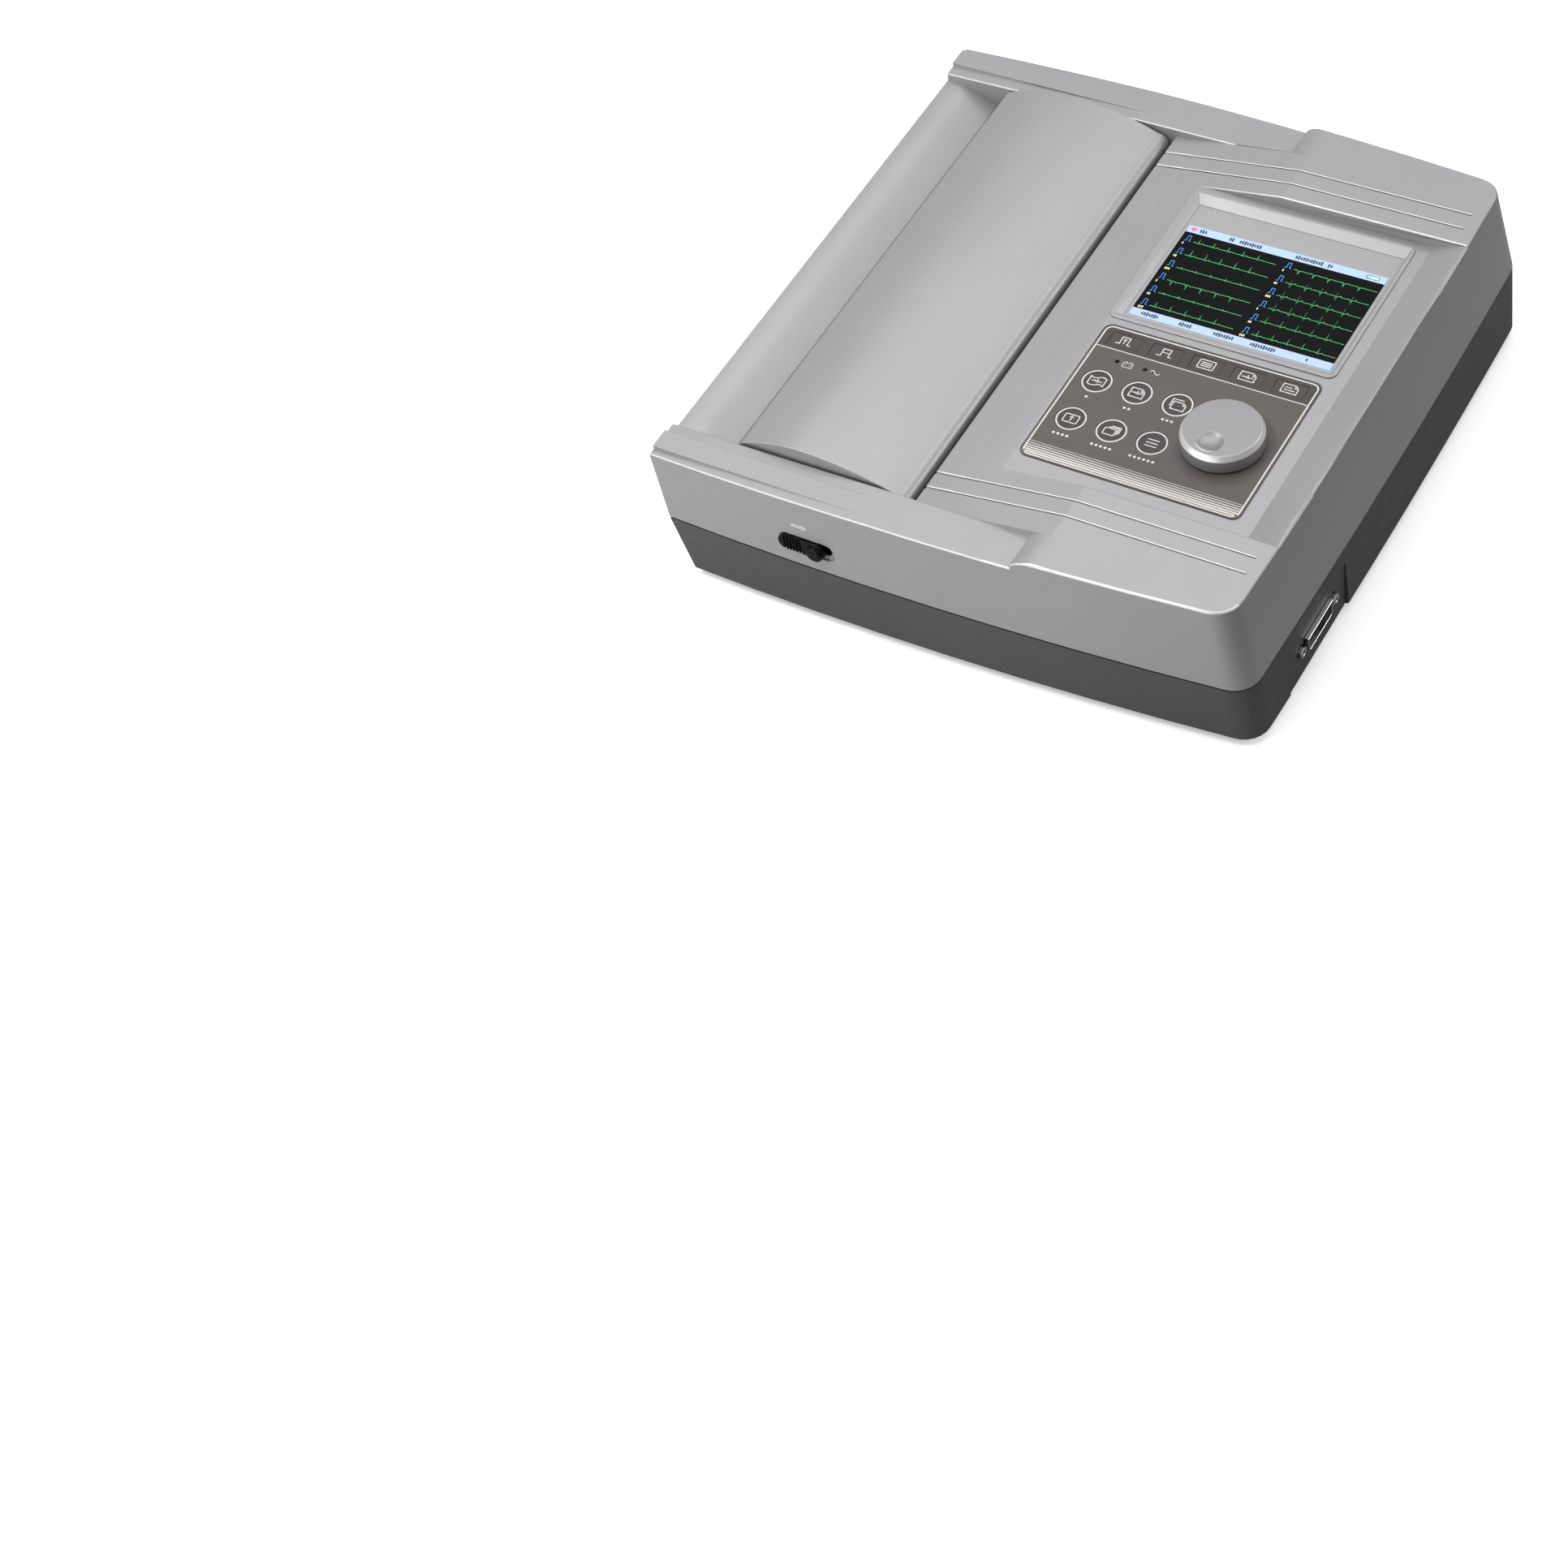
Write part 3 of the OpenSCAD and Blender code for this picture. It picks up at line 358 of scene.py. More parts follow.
def room(edge):
    """Width of the narrower face beside an edge, in millimetres."""
    return min(face.calc_area() / max(edge.calc_length(), TINY) for face in edge.link_faces) / MM


def thickness(face):
    """Width of a long thin face, in millimetres."""
    longest = max(max(edge.calc_length() for edge in face.edges), TINY)
    return face.calc_area() / longest / MM


def soften(shape, width_mm, keep, segments=3, sharp_deg=28, spare=1.6):
    """Rounds the outward sharp edges that keep(middle of the edge in mm) accepts, where the faces
    beside them are wider than spare times the rounding."""
    chosen = []
    for edge in shape.edges:
        if len(edge.link_faces) != 2 or not edge.is_convex:
            continue
        if edge.calc_face_angle(0) < math.radians(sharp_deg) or room(edge) < spare * width_mm:
            continue
        middle = (edge.verts[0].co + edge.verts[1].co) / 2 / MM
        if keep(middle):
            chosen.append(edge)
    bmesh.ops.bevel(shape, geom=chosen, offset=width_mm * MM, offset_type="OFFSET", segments=segments,
                    profile=0.5, affect="EDGES", clamp_overlap=False, miter_outer="ARC")
    return shape


def softened(name, node, width_mm, keep=lambda p: True, finish=None):
    """Shows a CAD node as a copy with rounded edges."""
    shape = soften(cad_shape(node), width_mm, keep)
    add_piece(name, shape, BODY_OF[node], finish or SLOT_OF[node], [node])


def band(shape, points, width, z, height, closed=False):
    """Adds a flat raised line of constant width along points in X and Y; all sizes in mm."""
    count = len(points)
    left, right = [], []
    for i, point in enumerate(points):
        here = Vector(point)
        ways = []
        if i or closed:
            ways.append((here - Vector(points[i - 1])).normalized())
        if i < count - 1 or closed:
            ways.append((Vector(points[(i + 1) % count]) - here).normalized())
        way = sum(ways, Vector((0, 0))).normalized()
        side = Vector((-way.y, way.x))
        reach = width / 2 / max(0.5, side.dot(Vector((-ways[0].y, ways[0].x))))
        left.append(here + side * reach)
        right.append(here - side * reach)
    low_l, top_l, low_r, top_r = [[shape.verts.new((p.x * MM, p.y * MM, level * MM)) for p in line]
                                  for line in (left, right) for level in (z, z + height)]
    for i in range(count if closed else count - 1):
        j = (i + 1) % count
        shape.faces.new((top_l[i], top_r[i], top_r[j], top_l[j]))
        shape.faces.new((low_l[i], low_l[j], low_r[j], low_r[i]))
        shape.faces.new((low_l[i], top_l[i], top_l[j], low_l[j]))
        shape.faces.new((low_r[i], low_r[j], top_r[j], top_r[i]))
    if not closed:
        for i in (0, count - 1):
            shape.faces.new((low_l[i], low_r[i], top_r[i], top_l[i]))


def slab(shape, points, z, height):
    """Adds a filled raised shape with the given outline in X and Y; all sizes in mm."""
    low = [shape.verts.new((x * MM, y * MM, z * MM)) for x, y in points]
    top = [shape.verts.new((x * MM, y * MM, (z + height) * MM)) for x, y in points]
    shape.faces.new(top)
    shape.faces.new(list(reversed(low)))
    for i in range(len(points)):
        j = (i + 1) % len(points)
        shape.faces.new((low[i], low[j], top[j], top[i]))


def arc(x, y, radius, start=0.0, sweep=360.0, steps=40):
    """Points along an arc, or around a circle that doesn't repeat its first point."""
    count = steps if sweep == 360.0 else steps + 1
    angles = [math.radians(start + sweep * i / steps) for i in range(count)]
    return [(x + radius * math.cos(a), y + radius * math.sin(a)) for a in angles]


def rounded(x0, x1, y0, y1, radius, steps=6):
    """Outline of a rectangle with round corners, anticlockwise."""
    corners = [(x1 - radius, y1 - radius, 0), (x0 + radius, y1 - radius, 90),
               (x0 + radius, y0 + radius, 180), (x1 - radius, y0 + radius, 270)]
    return [p for x, y, start in corners for p in arc(x, y, radius, start, 90, steps)]


def rectangle(x0, x1, y0, y1):
    return [(x0, y0), (x1, y0), (x1, y1), (x0, y1)]


def moved(points, x, y):
    return [(px + x, py + y) for px, py in points]


# ---------------------------------------------------------------- case and moving shells

# Places in mm, in the CAD frame.
DECK_SIDE_Z = 60            # above this, the upper shell's edges are on the deck and its arms
KEYPAD_X = (8, 115)         # the area around the keypad, where the key openings keep sharp edges
KEYPAD_Y = (-88, 1)
TROUGH_EDGE_X = -120.5      # the edge of the paper trough beside the door
TROUGH_EDGE_SHIFT = (0.9, 0, -0.45)
RAMP_GROOVE_XS = (-16.3, -7.8)
RAMP_GROOVE_RISE = 0.25
UPPER_SEAM_Z = 39.3         # just above the bottom rim of the upper shell; faces below it get painted seam shade
LOWER_SEAM_Z = 38.7         # the top rim of the lower shell
SEAM_DROP = 0.3
NARROW_EDGE = 1.6           # edge faces thinner than this get the painted highlight paint
CHEEK_X = -112.3            # the corner of a bearing cheek that stands out past the lid's slope
LID_CREASE = (-111.4, 75.4)
DIAL_FACE_R = 14


def case_top():
    """Upper shell: rounded outer edges, a painted highlight on the narrow edges at the front and painted
    shade on the rim at the seam.
    """
    def outside(p):
        over_keypad = KEYPAD_X[0] < p.x < KEYPAD_X[1] and KEYPAD_Y[0] < p.y < KEYPAD_Y[1]
        return p.z > DECK_SIDE_Z and not over_keypad

    shape = cad_shape("upper_shell")
    for vert in shape.verts:
        x, y, z = vert.co / MM
        if abs(x - TROUGH_EDGE_X) < 0.1 and 62 < z < 64 and abs(y) < 129:
            vert.co += Vector(TROUGH_EDGE_SHIFT) * MM
        elif z > 70 and min(abs(x - groove) for groove in RAMP_GROOVE_XS) < 0.05:
            vert.co.z += RAMP_GROOVE_RISE * MM
    bmesh.ops.dissolve_degenerate(shape, dist=0.005 * MM, edges=shape.edges)
    soften(shape, 0.7, outside, spare=4)
    for face in shape.faces:
        height = face.calc_center_median().z / MM
        tilted = 0.3 < face.normal.z < 0.96 and face.normal.y < -0.2
        # painted shade: the rim below the seam is dark like the shadow in the gap
        if height < UPPER_SEAM_Z:
            face.material_index = 2
        # painted highlight: narrow front-facing edge faces get the lighter paint
        elif tilted and thickness(face) < NARROW_EDGE and height > DECK_SIDE_Z:
            face.material_index = 1
    add_piece("case_top", shape, "case", "silver_paint", ["upper_shell"], ["painted_highlight", "dark_metal"])


def case_bottom():
    """Lower shell, with its top rim lowered a little so that the seam shows as a dark line."""
    shape = soften(cad_shape("lower_shell"), 0.5, lambda p: 4.5 < p.z < 38)
    for vert in shape.verts:
        if abs(vert.co.z / MM - LOWER_SEAM_Z) < 0.02:
            vert.co.z -= SEAM_DROP * MM
    add_piece("case_bottom", shape, "case", "dark_shell", ["lower_shell"])


def paper_lid():
    """Paper door, with the outer corners of its two bearing cheeks brought flush with the slope."""
    shape = cad_shape("paper_door")
    x, z = LID_CREASE
    for vert in shape.verts:
        if vert.co.x / MM < CHEEK_X and vert.co.z / MM > z - 0.1:
            vert.co = Vector((x * MM, vert.co.y, z * MM))
    soften(shape, 0.4, lambda p: True)
    add_piece("paper_lid", shape, BODY_OF["paper_door"], "silver_paint", ["paper_door"])


def dial_knob():
    """Jog dial with a painted highlight on the chamfer around its face."""
    shape = soften(cad_shape("jog_dial"), 0.3, lambda p: p.z > 79)
    middle = centre_mm("jog_dial")
    for face in shape.faces:
        place = face.calc_center_median() / MM - middle
        chamfer = 0.2 < face.normal.z < 0.97 and math.hypot(place.x, place.y) > DIAL_FACE_R
        # painted highlight on the chamfer faces
        face.material_index = int(chamfer)
    add_piece("dial_knob", shape, BODY_OF["jog_dial"], "dial_silver", ["jog_dial"], ["painted_highlight"])


def latch_cap():
    """Latch slider with a domed thumb knob."""
    shape = soften(cad_shape("latch_slider"), 1.5, lambda p: p.y < -156.5, segments=5)
    soften(shape, 0.3, lambda p: -156 < p.y < -151)
    add_piece("latch_cap", shape, BODY_OF["latch_slider"], "black_plastic", ["latch_slider"])


def socket_shell():
    """Lead socket: a bright metal shell around a black insert."""
    shape = soften(cad_shape("lead_socket"), 0.2, lambda p: p.x > 149.2)
    for face in shape.faces:
        depth = face.calc_center_median().x / MM
        face.material_index = int(face.normal.x > 0.9 and 145 < depth < 146)
    add_piece("socket_shell", shape, "case", "chrome", ["lead_socket"], ["black_plastic"])


def case_pieces():
    """The two shells, the door and the small mouldings, with their edges rounded."""
    case_top()
    case_bottom()
    paper_lid()
    softened("screen_surround", "screen_bezel", 0.35, lambda p: p.z > 77)
    dial_knob()
    latch_cap()
    softened("feet", "rubber_feet", 0.8, lambda p: p.z < 1)
    softened("battery_cover_plate", "battery_door", 0.3)
    softened("rocker_cap", "power_rocker", 0.5)
    softened("jackscrew_heads", "lead_jackscrews", 0.4, lambda p: p.x > 149)
    socket_shell()


# ---------------------------------------------------------------- printed marks

PRINT_SINK = 0.01           # how far a print reaches into the film below it, so that no gap shows
PRINT_H = 0.03
ICON_LINE = 0.52
RING_R = 6.6


def pulse(x0, x1, height, y=0.0):
    """A heartbeat line: flat, a small wave, a sharp spike and flat again."""
    run = x1 - x0
    steps = [(0, 0), (0.2, 0), (0.28, 0.18), (0.36, 0), (0.44, -0.2), (0.52, 1), (0.6, -0.45),
             (0.66, 0), (1, 0)]
    return [(x0 + run * sx, y + height * sy) for sx, sy in steps]


def sheet(width, height, fold):
    """A page with its top right corner folded down: its outline and the fold."""
    w, h = width / 2, height / 2
    outline = [(-w, -h), (w, -h), (w, h - fold), (w - fold, h), (-w, h)]
    return (outline, True), ([(w - fold, h), (w - fold, h - fold), (w, h - fold)], False)


def flag(width, height, dip):
    """A sheet that waves: both long edges curve the same way."""
    xs = [-width / 2 + width * i / 8 for i in range(9)]
    top = [(x, height / 2 + dip * math.sin(2 * math.pi * x / width)) for x in xs]
    low = [(x, y - height) for x, y in reversed(top)]
    return top + low, True


def level(x0, x1, y):
    """A straight line across an icon."""
    return [(x0, y), (x1, y)], False


# One square heartbeat: up, along and down between two flat ends.
SQUARE_BEAT = ([(-4, -2.2), (-1.9, -2.2), (-1.9, 2.2), (1.9, 2.2), (1.9, -2.2), (3.4, -2.2)], False)

# The lines of each icon in mm from the key's middle, each with whether it closes on itself.
ROUND_ICONS = {
    "wave_key": [flag(7.6, 4.6, 0.7), (pulse(-2.6, 2.6, 1.3), False)],
    "record_key": [*sheet(6.6, 5.4, 1.7), (pulse(-2.6, 2.6, 1.3), False)],
    "copy_key": [*[(moved(line, 0.7, -0.6), closed) for line, closed in sheet(6.2, 4.6, 1.4)],
                 ([(-3.3, -1.6), (-3.3, 3.1), (2.0, 3.1)], False)],
    "home_key": [(rounded(-3.4, 3.4, -2.4, 2.4, 0.8, 3), True), ([(0, -1.5), (0, 1.5)], False),
                 ([(-0.9, 0.6), (0, 1.6), (0.9, 0.6)], False)],
    "view_key": [(rounded(-3.4, 2.0, -2.6, 1.2, 0.6, 3), True),
                 ([(-1.8, 2.0), (2.8, 2.0), (2.8, -1.6)], False),
                 ([(-0.8, 2.8), (3.6, 2.8), (3.6, -0.8)], False)],
    "menu_key": [level(-2.8, 2.8, y) for y in (1.9, 0, -1.9)],
}
SOFT_ICONS = {
    "soft_key_1": [SQUARE_BEAT, ([(0, -1.8), (0, 1.2)], False),
                   ([(-0.8, 0.4), (0, 1.3), (0.8, 0.4)], False)],
    "soft_key_2": [SQUARE_BEAT, level(-1.9, 1.9, 0)],
    "soft_key_3": [(rounded(-3.8, 3.8, -2.6, 2.6, 0.6, 3), True),
                   *[level(-2.6, 2.6, y) for y in (1.1, 0, -1.1)]],
    "soft_key_4": [*sheet(7.4, 5.0, 1.6), (pulse(-2.8, 2.8, 1.2, -0.4), False)],
    "soft_key_5": [*sheet(7.4, 5.0, 1.6), level(-2.6, 0.8, 0.6), level(-2.6, 2.6, -0.9)],
}


def key_pieces():
    """Key caps with rounded rims, and the marks printed on them."""
    for node, icon in {**ROUND_ICONS, **SOFT_ICONS}.items():
        in_ring = node in ROUND_ICONS
        top = box_mm(node)[1].z
        middle = centre_mm(node)
        film = "key_film" if in_ring else "strip_film"
        softened(node + "_cap", node, 0.25, lambda p: p.z > top - 0.1, film)
        shape = bmesh.new()
        for line, closed in icon:
            band(shape, moved(line, middle.x, middle.y), ICON_LINE, top - PRINT_SINK, PRINT_H, closed)
        if in_ring:
            band(shape, arc(middle.x, middle.y, RING_R, steps=64), 0.75, top - PRINT_SINK, PRINT_H, True)
        add_piece(node + "_mark", shape, BODY_OF[node], "print_ink")


def overlay_print():
    """Frame, divider, stripes, dot captions and lamp symbols on the keypad film."""
    frame_inset, frame_r, frame_line = 1.2, 3.2, 0.75
    stripes, stripe_pitch, stripe_w, stripe_fall = 6, 1.3, 1.0, 0.15
    dot_r, dot_pitch, dot_drop = 0.7, 2.2, 10.4
    lamp, sine = (28.7, -20.6), (42.1, -20.4)

    low, high = box_mm("keypad_overlay")
    z = high.z - PRINT_SINK
    x0, x1 = low.x + frame_inset, high.x - frame_inset
    y0, y1 = low.y + frame_inset, high.y - frame_inset
    shape = bmesh.new()
    band(shape, rounded(x0, x1, y0, y1, frame_r), frame_line, z, PRINT_H, True)
    band(shape, [(x0, STRIP_Y / MM), (x1, STRIP_Y / MM)], 0.5, z, PRINT_H)
    for i in range(stripes):
        y = y0 + stripe_pitch * (i + 1)
        band(shape, [(x0 + 0.4, y), (x1 - 0.4, y)], stripe_w - i * stripe_fall, z, PRINT_H)
    for dots, node in enumerate(ROUND_ICONS, 1):
        middle = centre_mm(node)
        for i in range(dots):
            x = middle.x + (i - (dots - 1) / 2) * dot_pitch
            slab(shape, arc(x, middle.y - dot_drop, dot_r, steps=16), z, PRINT_H)
    band(shape, moved(rounded(-2.3, 2.3, -1.6, 1.2, 0.4, 3), *lamp), 0.35, z, PRINT_H, True)
    for x in (-1.2, 1.2):
        band(shape, moved([(x, 1.2), (x, 1.9)], *lamp), 0.9, z, PRINT_H)
        band(shape, moved([(x - 0.5, -0.2), (x + 0.5, -0.2)], *lamp), 0.3, z, PRINT_H)
    wave = [(4.8 * (i / 16 - 0.5), math.sin(2 * math.pi * i / 16)) for i in range(17)]
    band(shape, moved(wave, *sine), 0.4, z, PRINT_H)
    add_piece("overlay_print", shape, "case", "print_ink")


def deck_lines(skin):
    """Painted highlights: bright lines along the rear edge of the two grooves on each side of the deck."""
    groove_ys = (-117, -107.5, 107.5, 117)
    bend_xs = (-19.5, 47.8, 48.2, 132.5)
    edge_offset, half_line, lift = 0.62, 0.22, 0.02
    shape = bmesh.new()
    for groove_y in groove_ys:
        y = groove_y + edge_offset
        rows = []
        for x in bend_xs:
            height = skin.ray_cast(Vector((x, y, 200)) * MM, Vector((0, 0, -1)))[0].z + lift * MM
            rows.append([shape.verts.new((x * MM, (y + side) * MM, height))
                         for side in (-half_line, half_line)])
        for (a, b), (c, d) in zip(rows, rows[1:]):
            shape.faces.new((a, c, d, b))
    add_piece("deck_lines", shape, "case", "groove_highlight_paint")


def latch_arrow(skin):
    """A raised arrow on the front wall, above the latch, pointing the way it slides; painted in highlight
    colour.
    """
    tail_x, neck_x, tip_x = -72.5, -67, -63.5
    middle_z, half_shaft, half_head, raised = 62.6, 0.7, 1.8, 0.25
    lower = [(tail_x, -half_shaft), (neck_x, -half_shaft), (neck_x, -half_head)]
    upper = [(x, -z) for x, z in reversed(lower)]
    outline = moved([*lower, (tip_x, 0), *upper], 0, middle_z)
    shape = bmesh.new()
    foot, face = [], []
    for x, z in outline:
        hit = skin.ray_cast(Vector((x, -200, z)) * MM, Vector((0, 1, 0)))[0]
        foot.append(shape.verts.new(hit))
        face.append(shape.verts.new(hit - Vector((0, raised * MM, 0))))
    shape.faces.new(face)
    for i in range(len(outline)):
        j = (i + 1) % len(outline)
        shape.faces.new((foot[i], foot[j], face[j], face[i]))
    # painted highlight: the arrow gets the lighter paint
    add_piece("latch_arrow", shape, "case", "painted_highlight")


def shell_highlight_marks():
    """The painted highlights that follow the upper shell's surface: the groove lines and the raised latch
    arrow.
    """
    shell = NODES["upper_shell"].data
    skin = BVHTree.FromPolygons([v.co for v in shell.vertices], [tuple(f.vertices) for f in shell.polygons])
    deck_lines(skin)
    latch_arrow(skin)


# ---------------------------------------------------------------- screen

# Left, right, front and rear edges in mm of the glass that shows and of the lit picture on it.
WINDOW = (11.0, 113.2, 9.5, 88.0)
PICTURE = (12.6, 111.4, 11.5, 74.4)
BAR_H = 4.6
LAYER = 0.02                # thickness of each layer of the picture

# Start and end of the two columns of traces.
COLUMNS = ((14.6, 61.0), (65.0, 110.4))
# Spike, dip and last wave of each lead in mm, down the left column and then the right.
LEADS = [(2.8, 0.4, 0.5), (3.8, 0.4, 0.6), (1.0, 0.3, 0.25), (-3.2, -0.3, -0.4), (0.9, 0.3, 0.2),
         (3.0, 0.4, 0.4), (-2.4, 1.0, 0.3), (2.4, 2.6, 0.8), (3.2, 2.2, 0.8), (4.0, 1.6, 0.8),
         (3.8, 0.8, 0.7), (3.2, 0.5, 0.5)]
# Start and length of the runs of marks that stand for writing in the bars.
TOP_BAR_MARKS = [(19, 4), (34, 3), (39, 12), (67, 14), (83, 3)]
LOW_BAR_MARKS = [(18, 9), (37, 7), (54, 10), (72, 13), (99, 2)]


def beats(x0, x1, y, spike, dip, hump, period=7.4):
    """A trace of equal heartbeats between x0 and x1 on the level y."""
    shape = [(0, 0), (0.1, 0), (0.15, 0.3), (0.2, 0), (0.3, 0), (0.325, -dip * 0.4), (0.36, spike),
             (0.4, -dip), (0.425, 0), (0.55, 0), (0.63, hump), (0.72, 0)]
    count = int((x1 - x0) / period)
    points = [(x0 + (i + t) * period, y + height) for i in range(count) for t, height in shape]
    return points + [(x1, y)]


def screen_border(top):
    """The pale mask around the lit picture."""
    left, right, front, rear = WINDOW
    x0, x1, y0, y1 = PICTURE
    sides = [(left, right, y1, rear), (left, right, front, y0), (left, x0, y0, y1), (x1, right, y0, y1)]
    shape = bmesh.new()
    for side in sides:
        slab(shape, rectangle(*side), top, 0.05)
    add_piece("screen_border", shape, "case", "screen_border")


def picture_bars(top):
    """Pale bars along both long edges, with short marks of uneven height in them."""
    x0, x1, y0, y1 = PICTURE
    pitch, mark_w, shortest, growth = 1.25, 0.85, 0.8, 0.225
    bars, marks = bmesh.new(), bmesh.new()
    slab(bars, rectangle(x0, x1, y1 - BAR_H, y1), top, LAYER)
    slab(bars, rectangle(x0, x1, y0, y0 + BAR_H), top, LAYER)
    add_piece("picture_bars", bars, "case", "bar_blue")
    for y, runs in ((y1 - BAR_H / 2, TOP_BAR_MARKS), (y0 + BAR_H / 2, LOW_BAR_MARKS)):
        for start, length in runs:
            for i in range(int(length / pitch)):
                x = start + i * pitch
                tall = shortest + growth * ((i * 7 + start) % 3)
                slab(marks, rectangle(x, x + mark_w, y - tall, y + tall), top + LAYER, LAYER)
    add_piece("picture_bar_marks", marks, "case", "bar_mark")


def picture_traces(top):
    """Twelve traces in two columns, each after a square pulse and one to three small marks."""
    y0, y1 = PICTURE[2:]
    trace_line, pulse_line, above = 0.22, 0.28, 0.005
    rows = len(LEADS) // len(COLUMNS)
    pitch = (y1 - y0 - 2 * BAR_H) / rows
    traces, pulses, leads = bmesh.new(), bmesh.new(), bmesh.new()
    for column, (start, end) in enumerate(COLUMNS):
        for row in range(rows):
            base = y1 - BAR_H - pitch * (row + 0.62)
            trace = beats(start + 4.6, end, base, *LEADS[column * rows + row])
            band(traces, trace, trace_line, top + above, LAYER)
            square = [(0, 0), (0.9, 0), (0.9, 3.4), (2.4, 3.4), (2.4, 0), (3.3, 0)]
            band(pulses, moved(square, start, base), pulse_line, top + above, LAYER)
            for i in range(1 + row % 3):
                x = start + i * 0.9
                slab(leads, rectangle(x, x + 0.5, base - 2.6, base - 1.3), top, LAYER + above)
    add_piece("picture_traces", traces, "case", "line_green")
    add_piece("picture_pulses", pulses, "case", "pulse_blue")
    add_piece("picture_lead_marks", leads, "case", "lead_yellow")


def picture_heart(top):
    """The small heart at the left end of the rear bar."""
    lobe_x, lobe_y, lobe_r = 0.8, 0.5, 0.8
    outline = [(0, -1.5), (1.6, 0.2), *arc(lobe_x, lobe_y, lobe_r, 0, 160, 6),
               *arc(-lobe_x, lobe_y, lobe_r, 20, 160, 6), (-1.6, 0.2)]
    shape = bmesh.new()
    slab(shape, moved(outline, PICTURE[0] + 3.3, PICTURE[3] - BAR_H / 2), top + LAYER, LAYER)
    add_piece("picture_heart", shape, "case", "heart_red")


def picture_battery(top):
    """The battery symbol at the right end of the rear bar: a rim around a filled cell."""
    x1, y = PICTURE[1], PICTURE[3] - BAR_H / 2
    rim, cell = bmesh.new(), bmesh.new()
    band(rim, rounded(x1 - 9.6, x1 - 3.6, y - 1, y + 1, 0.3, 2), 0.3, top + LAYER, LAYER, True)
    add_piece("picture_battery_rim", rim, "case", "bar_mark")
    slab(cell, rectangle(x1 - 7.6, x1 - 3.9, y - 0.75, y + 0.75), top + LAYER, 0.015)
    add_piece("picture_battery_cell", cell, "case", "battery_teal")


def screen_picture():
    """A lit picture of twelve traces between two pale bars, inside a pale mask."""
    top = box_mm("screen_glass")[1].z
    screen_border(top)
    picture_bars(top)
    picture_traces(top)
    picture_heart(top)
    picture_battery(top)


# ---------------------------------------------------------------- remaining nodes

def smooth_bends(limit_deg=30):
    """Nodes for a modifier that shades bends below the limit smoothly and leaves the mesh alone."""
    group = bpy.data.node_groups.new("smooth_bends", "GeometryNodeTree")
    for way in ("INPUT", "OUTPUT"):
        group.interface.new_socket("Geometry", in_out=way, socket_type="NodeSocketGeometry")
    given = group.nodes.new("NodeGroupInput")
    faces = group.nodes.new("GeometryNodeSetShadeSmooth")
    edges = group.nodes.new("GeometryNodeSetShadeSmooth")
    edges.domain = "EDGE"
    result = group.nodes.new("NodeGroupOutput")
    for before, after in ((given, faces), (faces, edges), (edges, result)):
        group.links.new(before.outputs[0], after.inputs[0])
    gentle = group.nodes.new("FunctionNodeCompare")
    gentle.operation = "LESS_THAN"
    gentle.inputs["B"].default_value = math.radians(limit_deg)
    group.links.new(group.nodes.new("GeometryNodeInputMeshEdgeAngle").outputs[0], gentle.inputs["A"])
    group.links.new(gentle.outputs[0], edges.inputs["Shade Smooth"])
    return group


def finish_nodes():
    """Every CAD node that is still shown gets the finish of its material slot and smooth curves."""
    smoothing = smooth_bends()
    for node, thing in NODES.items():
        for slot in thing.material_slots:
            slot.material = FINISH[SLOT_OF[node]]
        thing.modifiers.new("smooth_bends", "NODES").node_group = smoothing


# ---------------------------------------------------------------- studio

def studio():
    """Pale floor, large soft lights above and in front, a thin one for bright edges, and small
    ones that catch the lead socket and the latch."""
    shape = bmesh.new()
    bmesh.ops.create_grid(shape, x_segments=1, y_segments=1, size=2.2)
    mesh = bpy.data.meshes.new("floor")
    shape.to_mesh(mesh)
    shape.free()
    mesh.materials.append(FINISH["floor"])
    floor = bpy.data.objects.new("floor", mesh)
    bpy.context.scene.collection.objects.link(floor)

    def area(name, where, size, power, towards=(0, 0, 0.05)):
        light = bpy.data.lights.new(name, "AREA")
        light.shape = "RECTANGLE"
        light.size, light.size_y = size
        light.energy = power
        lamp = bpy.data.objects.new(name, light)
        lamp.location = where
        way = Vector(towards) - Vector(where)
        lamp.rotation_euler = way.to_track_quat("-Z", "Y").to_euler()
        bpy.context.scene.collection.objects.link(lamp)

    area("key_light", (-0.25, 0.65, 1.6), (1.6, 1.2), 13)
    area("front_light", (-0.5, -1.6, 0.22), (2.0, 0.4), 18)
    area("edge_light", (-0.55, -0.45, 1.35), (1.0, 0.12), 13)
    area("side_light", (1.1, 0.8, 0.55), (0.4, 0.4), 4)
    area("latch_glint", (-1.3, -0.95, 0.1), (0.08, 0.08), 0.6)
    bpy.context.scene.world = surroundings()
    bpy.context.scene.view_settings.view_transform = "Standard"


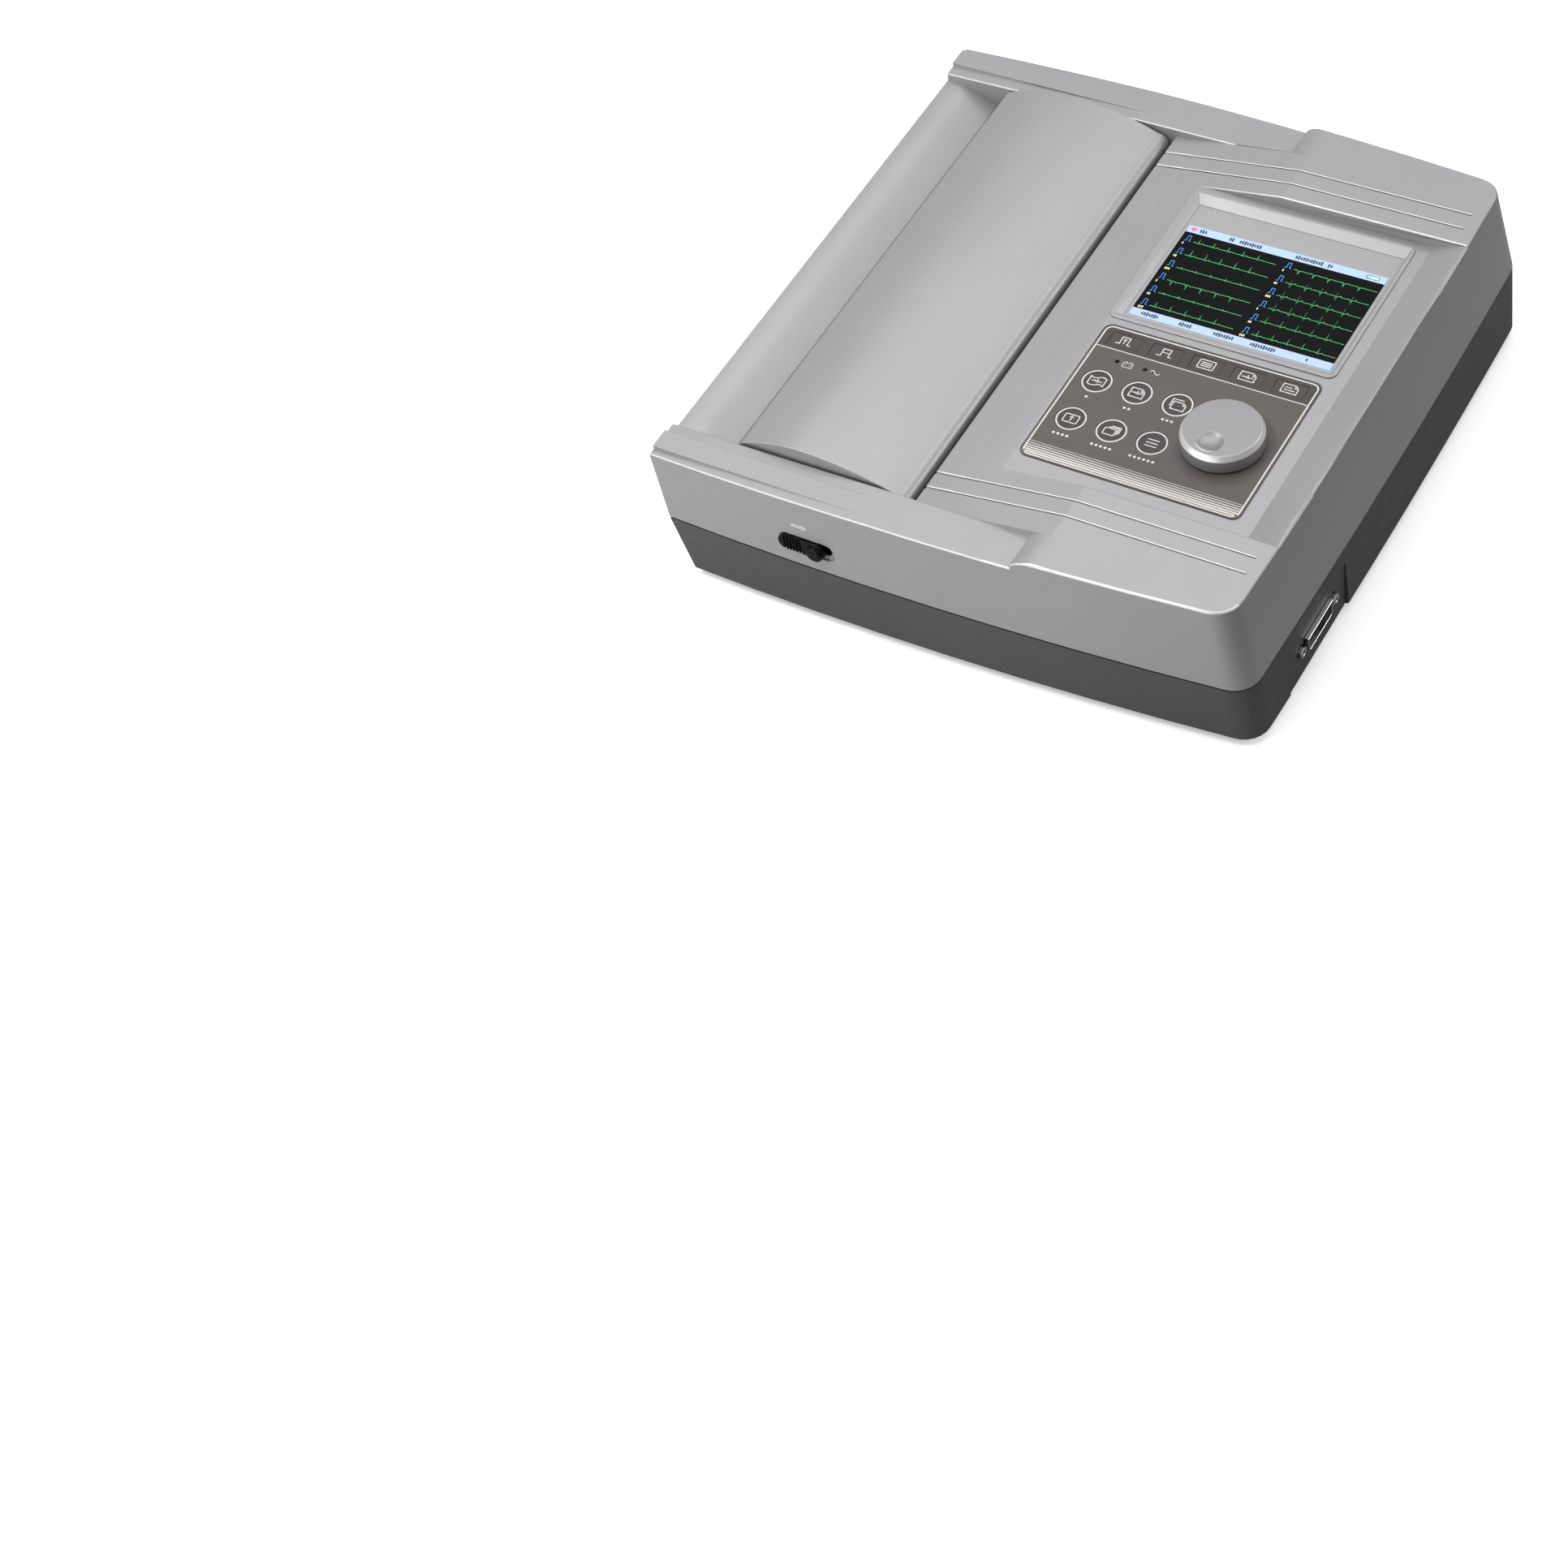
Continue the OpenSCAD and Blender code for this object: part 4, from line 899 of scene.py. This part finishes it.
def surroundings():
    """White behind the object. As a light it is even on the left, and on the right it is bright
    above and behind but nearly black towards the floor and the front."""
    world = bpy.data.worlds.new("studio")
    world.use_nodes = True
    tree = world.node_tree

    def ranged(low, high, to_low, to_high=None):
        made = tree.nodes.new("ShaderNodeMapRange")
        made.inputs["From Min"].default_value = low
        made.inputs["From Max"].default_value = high
        made.inputs["To Min"].default_value = to_low
        if to_high is not None:
            made.inputs["To Max"].default_value = to_high
        return made

    towards = tree.nodes.new("ShaderNodeTexCoord").outputs["Generated"]
    up_and_back = tree.nodes.new("ShaderNodeVectorMath")
    up_and_back.operation = "DOT_PRODUCT"
    up_and_back.inputs[1].default_value = (0, 0.5, 0.85)
    tree.links.new(towards, up_and_back.inputs[0])
    right = ranged(0.0, 0.8, 0.05, 1.1)
    tree.links.new(up_and_back.outputs["Value"], right.inputs["Value"])
    split = tree.nodes.new("ShaderNodeSeparateXYZ")
    tree.links.new(towards, split.inputs[0])
    fade = ranged(-0.2, 0.4, 0.5)
    tree.links.new(right.outputs["Result"], fade.inputs["To Max"])
    tree.links.new(split.outputs["X"], fade.inputs["Value"])
    seen = tree.nodes.new("ShaderNodeMix")
    tree.links.new(tree.nodes.new("ShaderNodeLightPath").outputs["Is Camera Ray"], seen.inputs["Factor"])
    tree.links.new(fade.outputs["Result"], seen.inputs["A"])
    seen.inputs["B"].default_value = 1.0
    backdrop = tree.nodes["Background"]
    backdrop.inputs["Color"].default_value = (1, 1, 1, 1)
    tree.links.new(seen.outputs["Result"], backdrop.inputs["Strength"])
    return world


def photo_camera():
    """The photograph's viewpoint: a slightly long lens from the right, the front and well above."""
    lens = bpy.data.cameras.new("camera")
    lens.lens = 71.7
    lens.sensor_width = 36
    camera = bpy.data.objects.new("camera", lens)
    right = Vector((0.849, 0.5058, -0.1528))
    up = Vector((-0.3196, 0.7219, 0.6138))
    turn = Matrix((right, up, right.cross(up))).transposed().to_4x4()
    camera.matrix_world = Matrix.Translation((0.5435, -0.8893, 1.0634)) @ turn
    bpy.context.scene.collection.objects.link(camera)
    bpy.context.scene.camera = camera


finish_nodes()
case_pieces()
key_pieces()
overlay_print()
shell_highlight_marks()
screen_picture()
studio()
photo_camera()
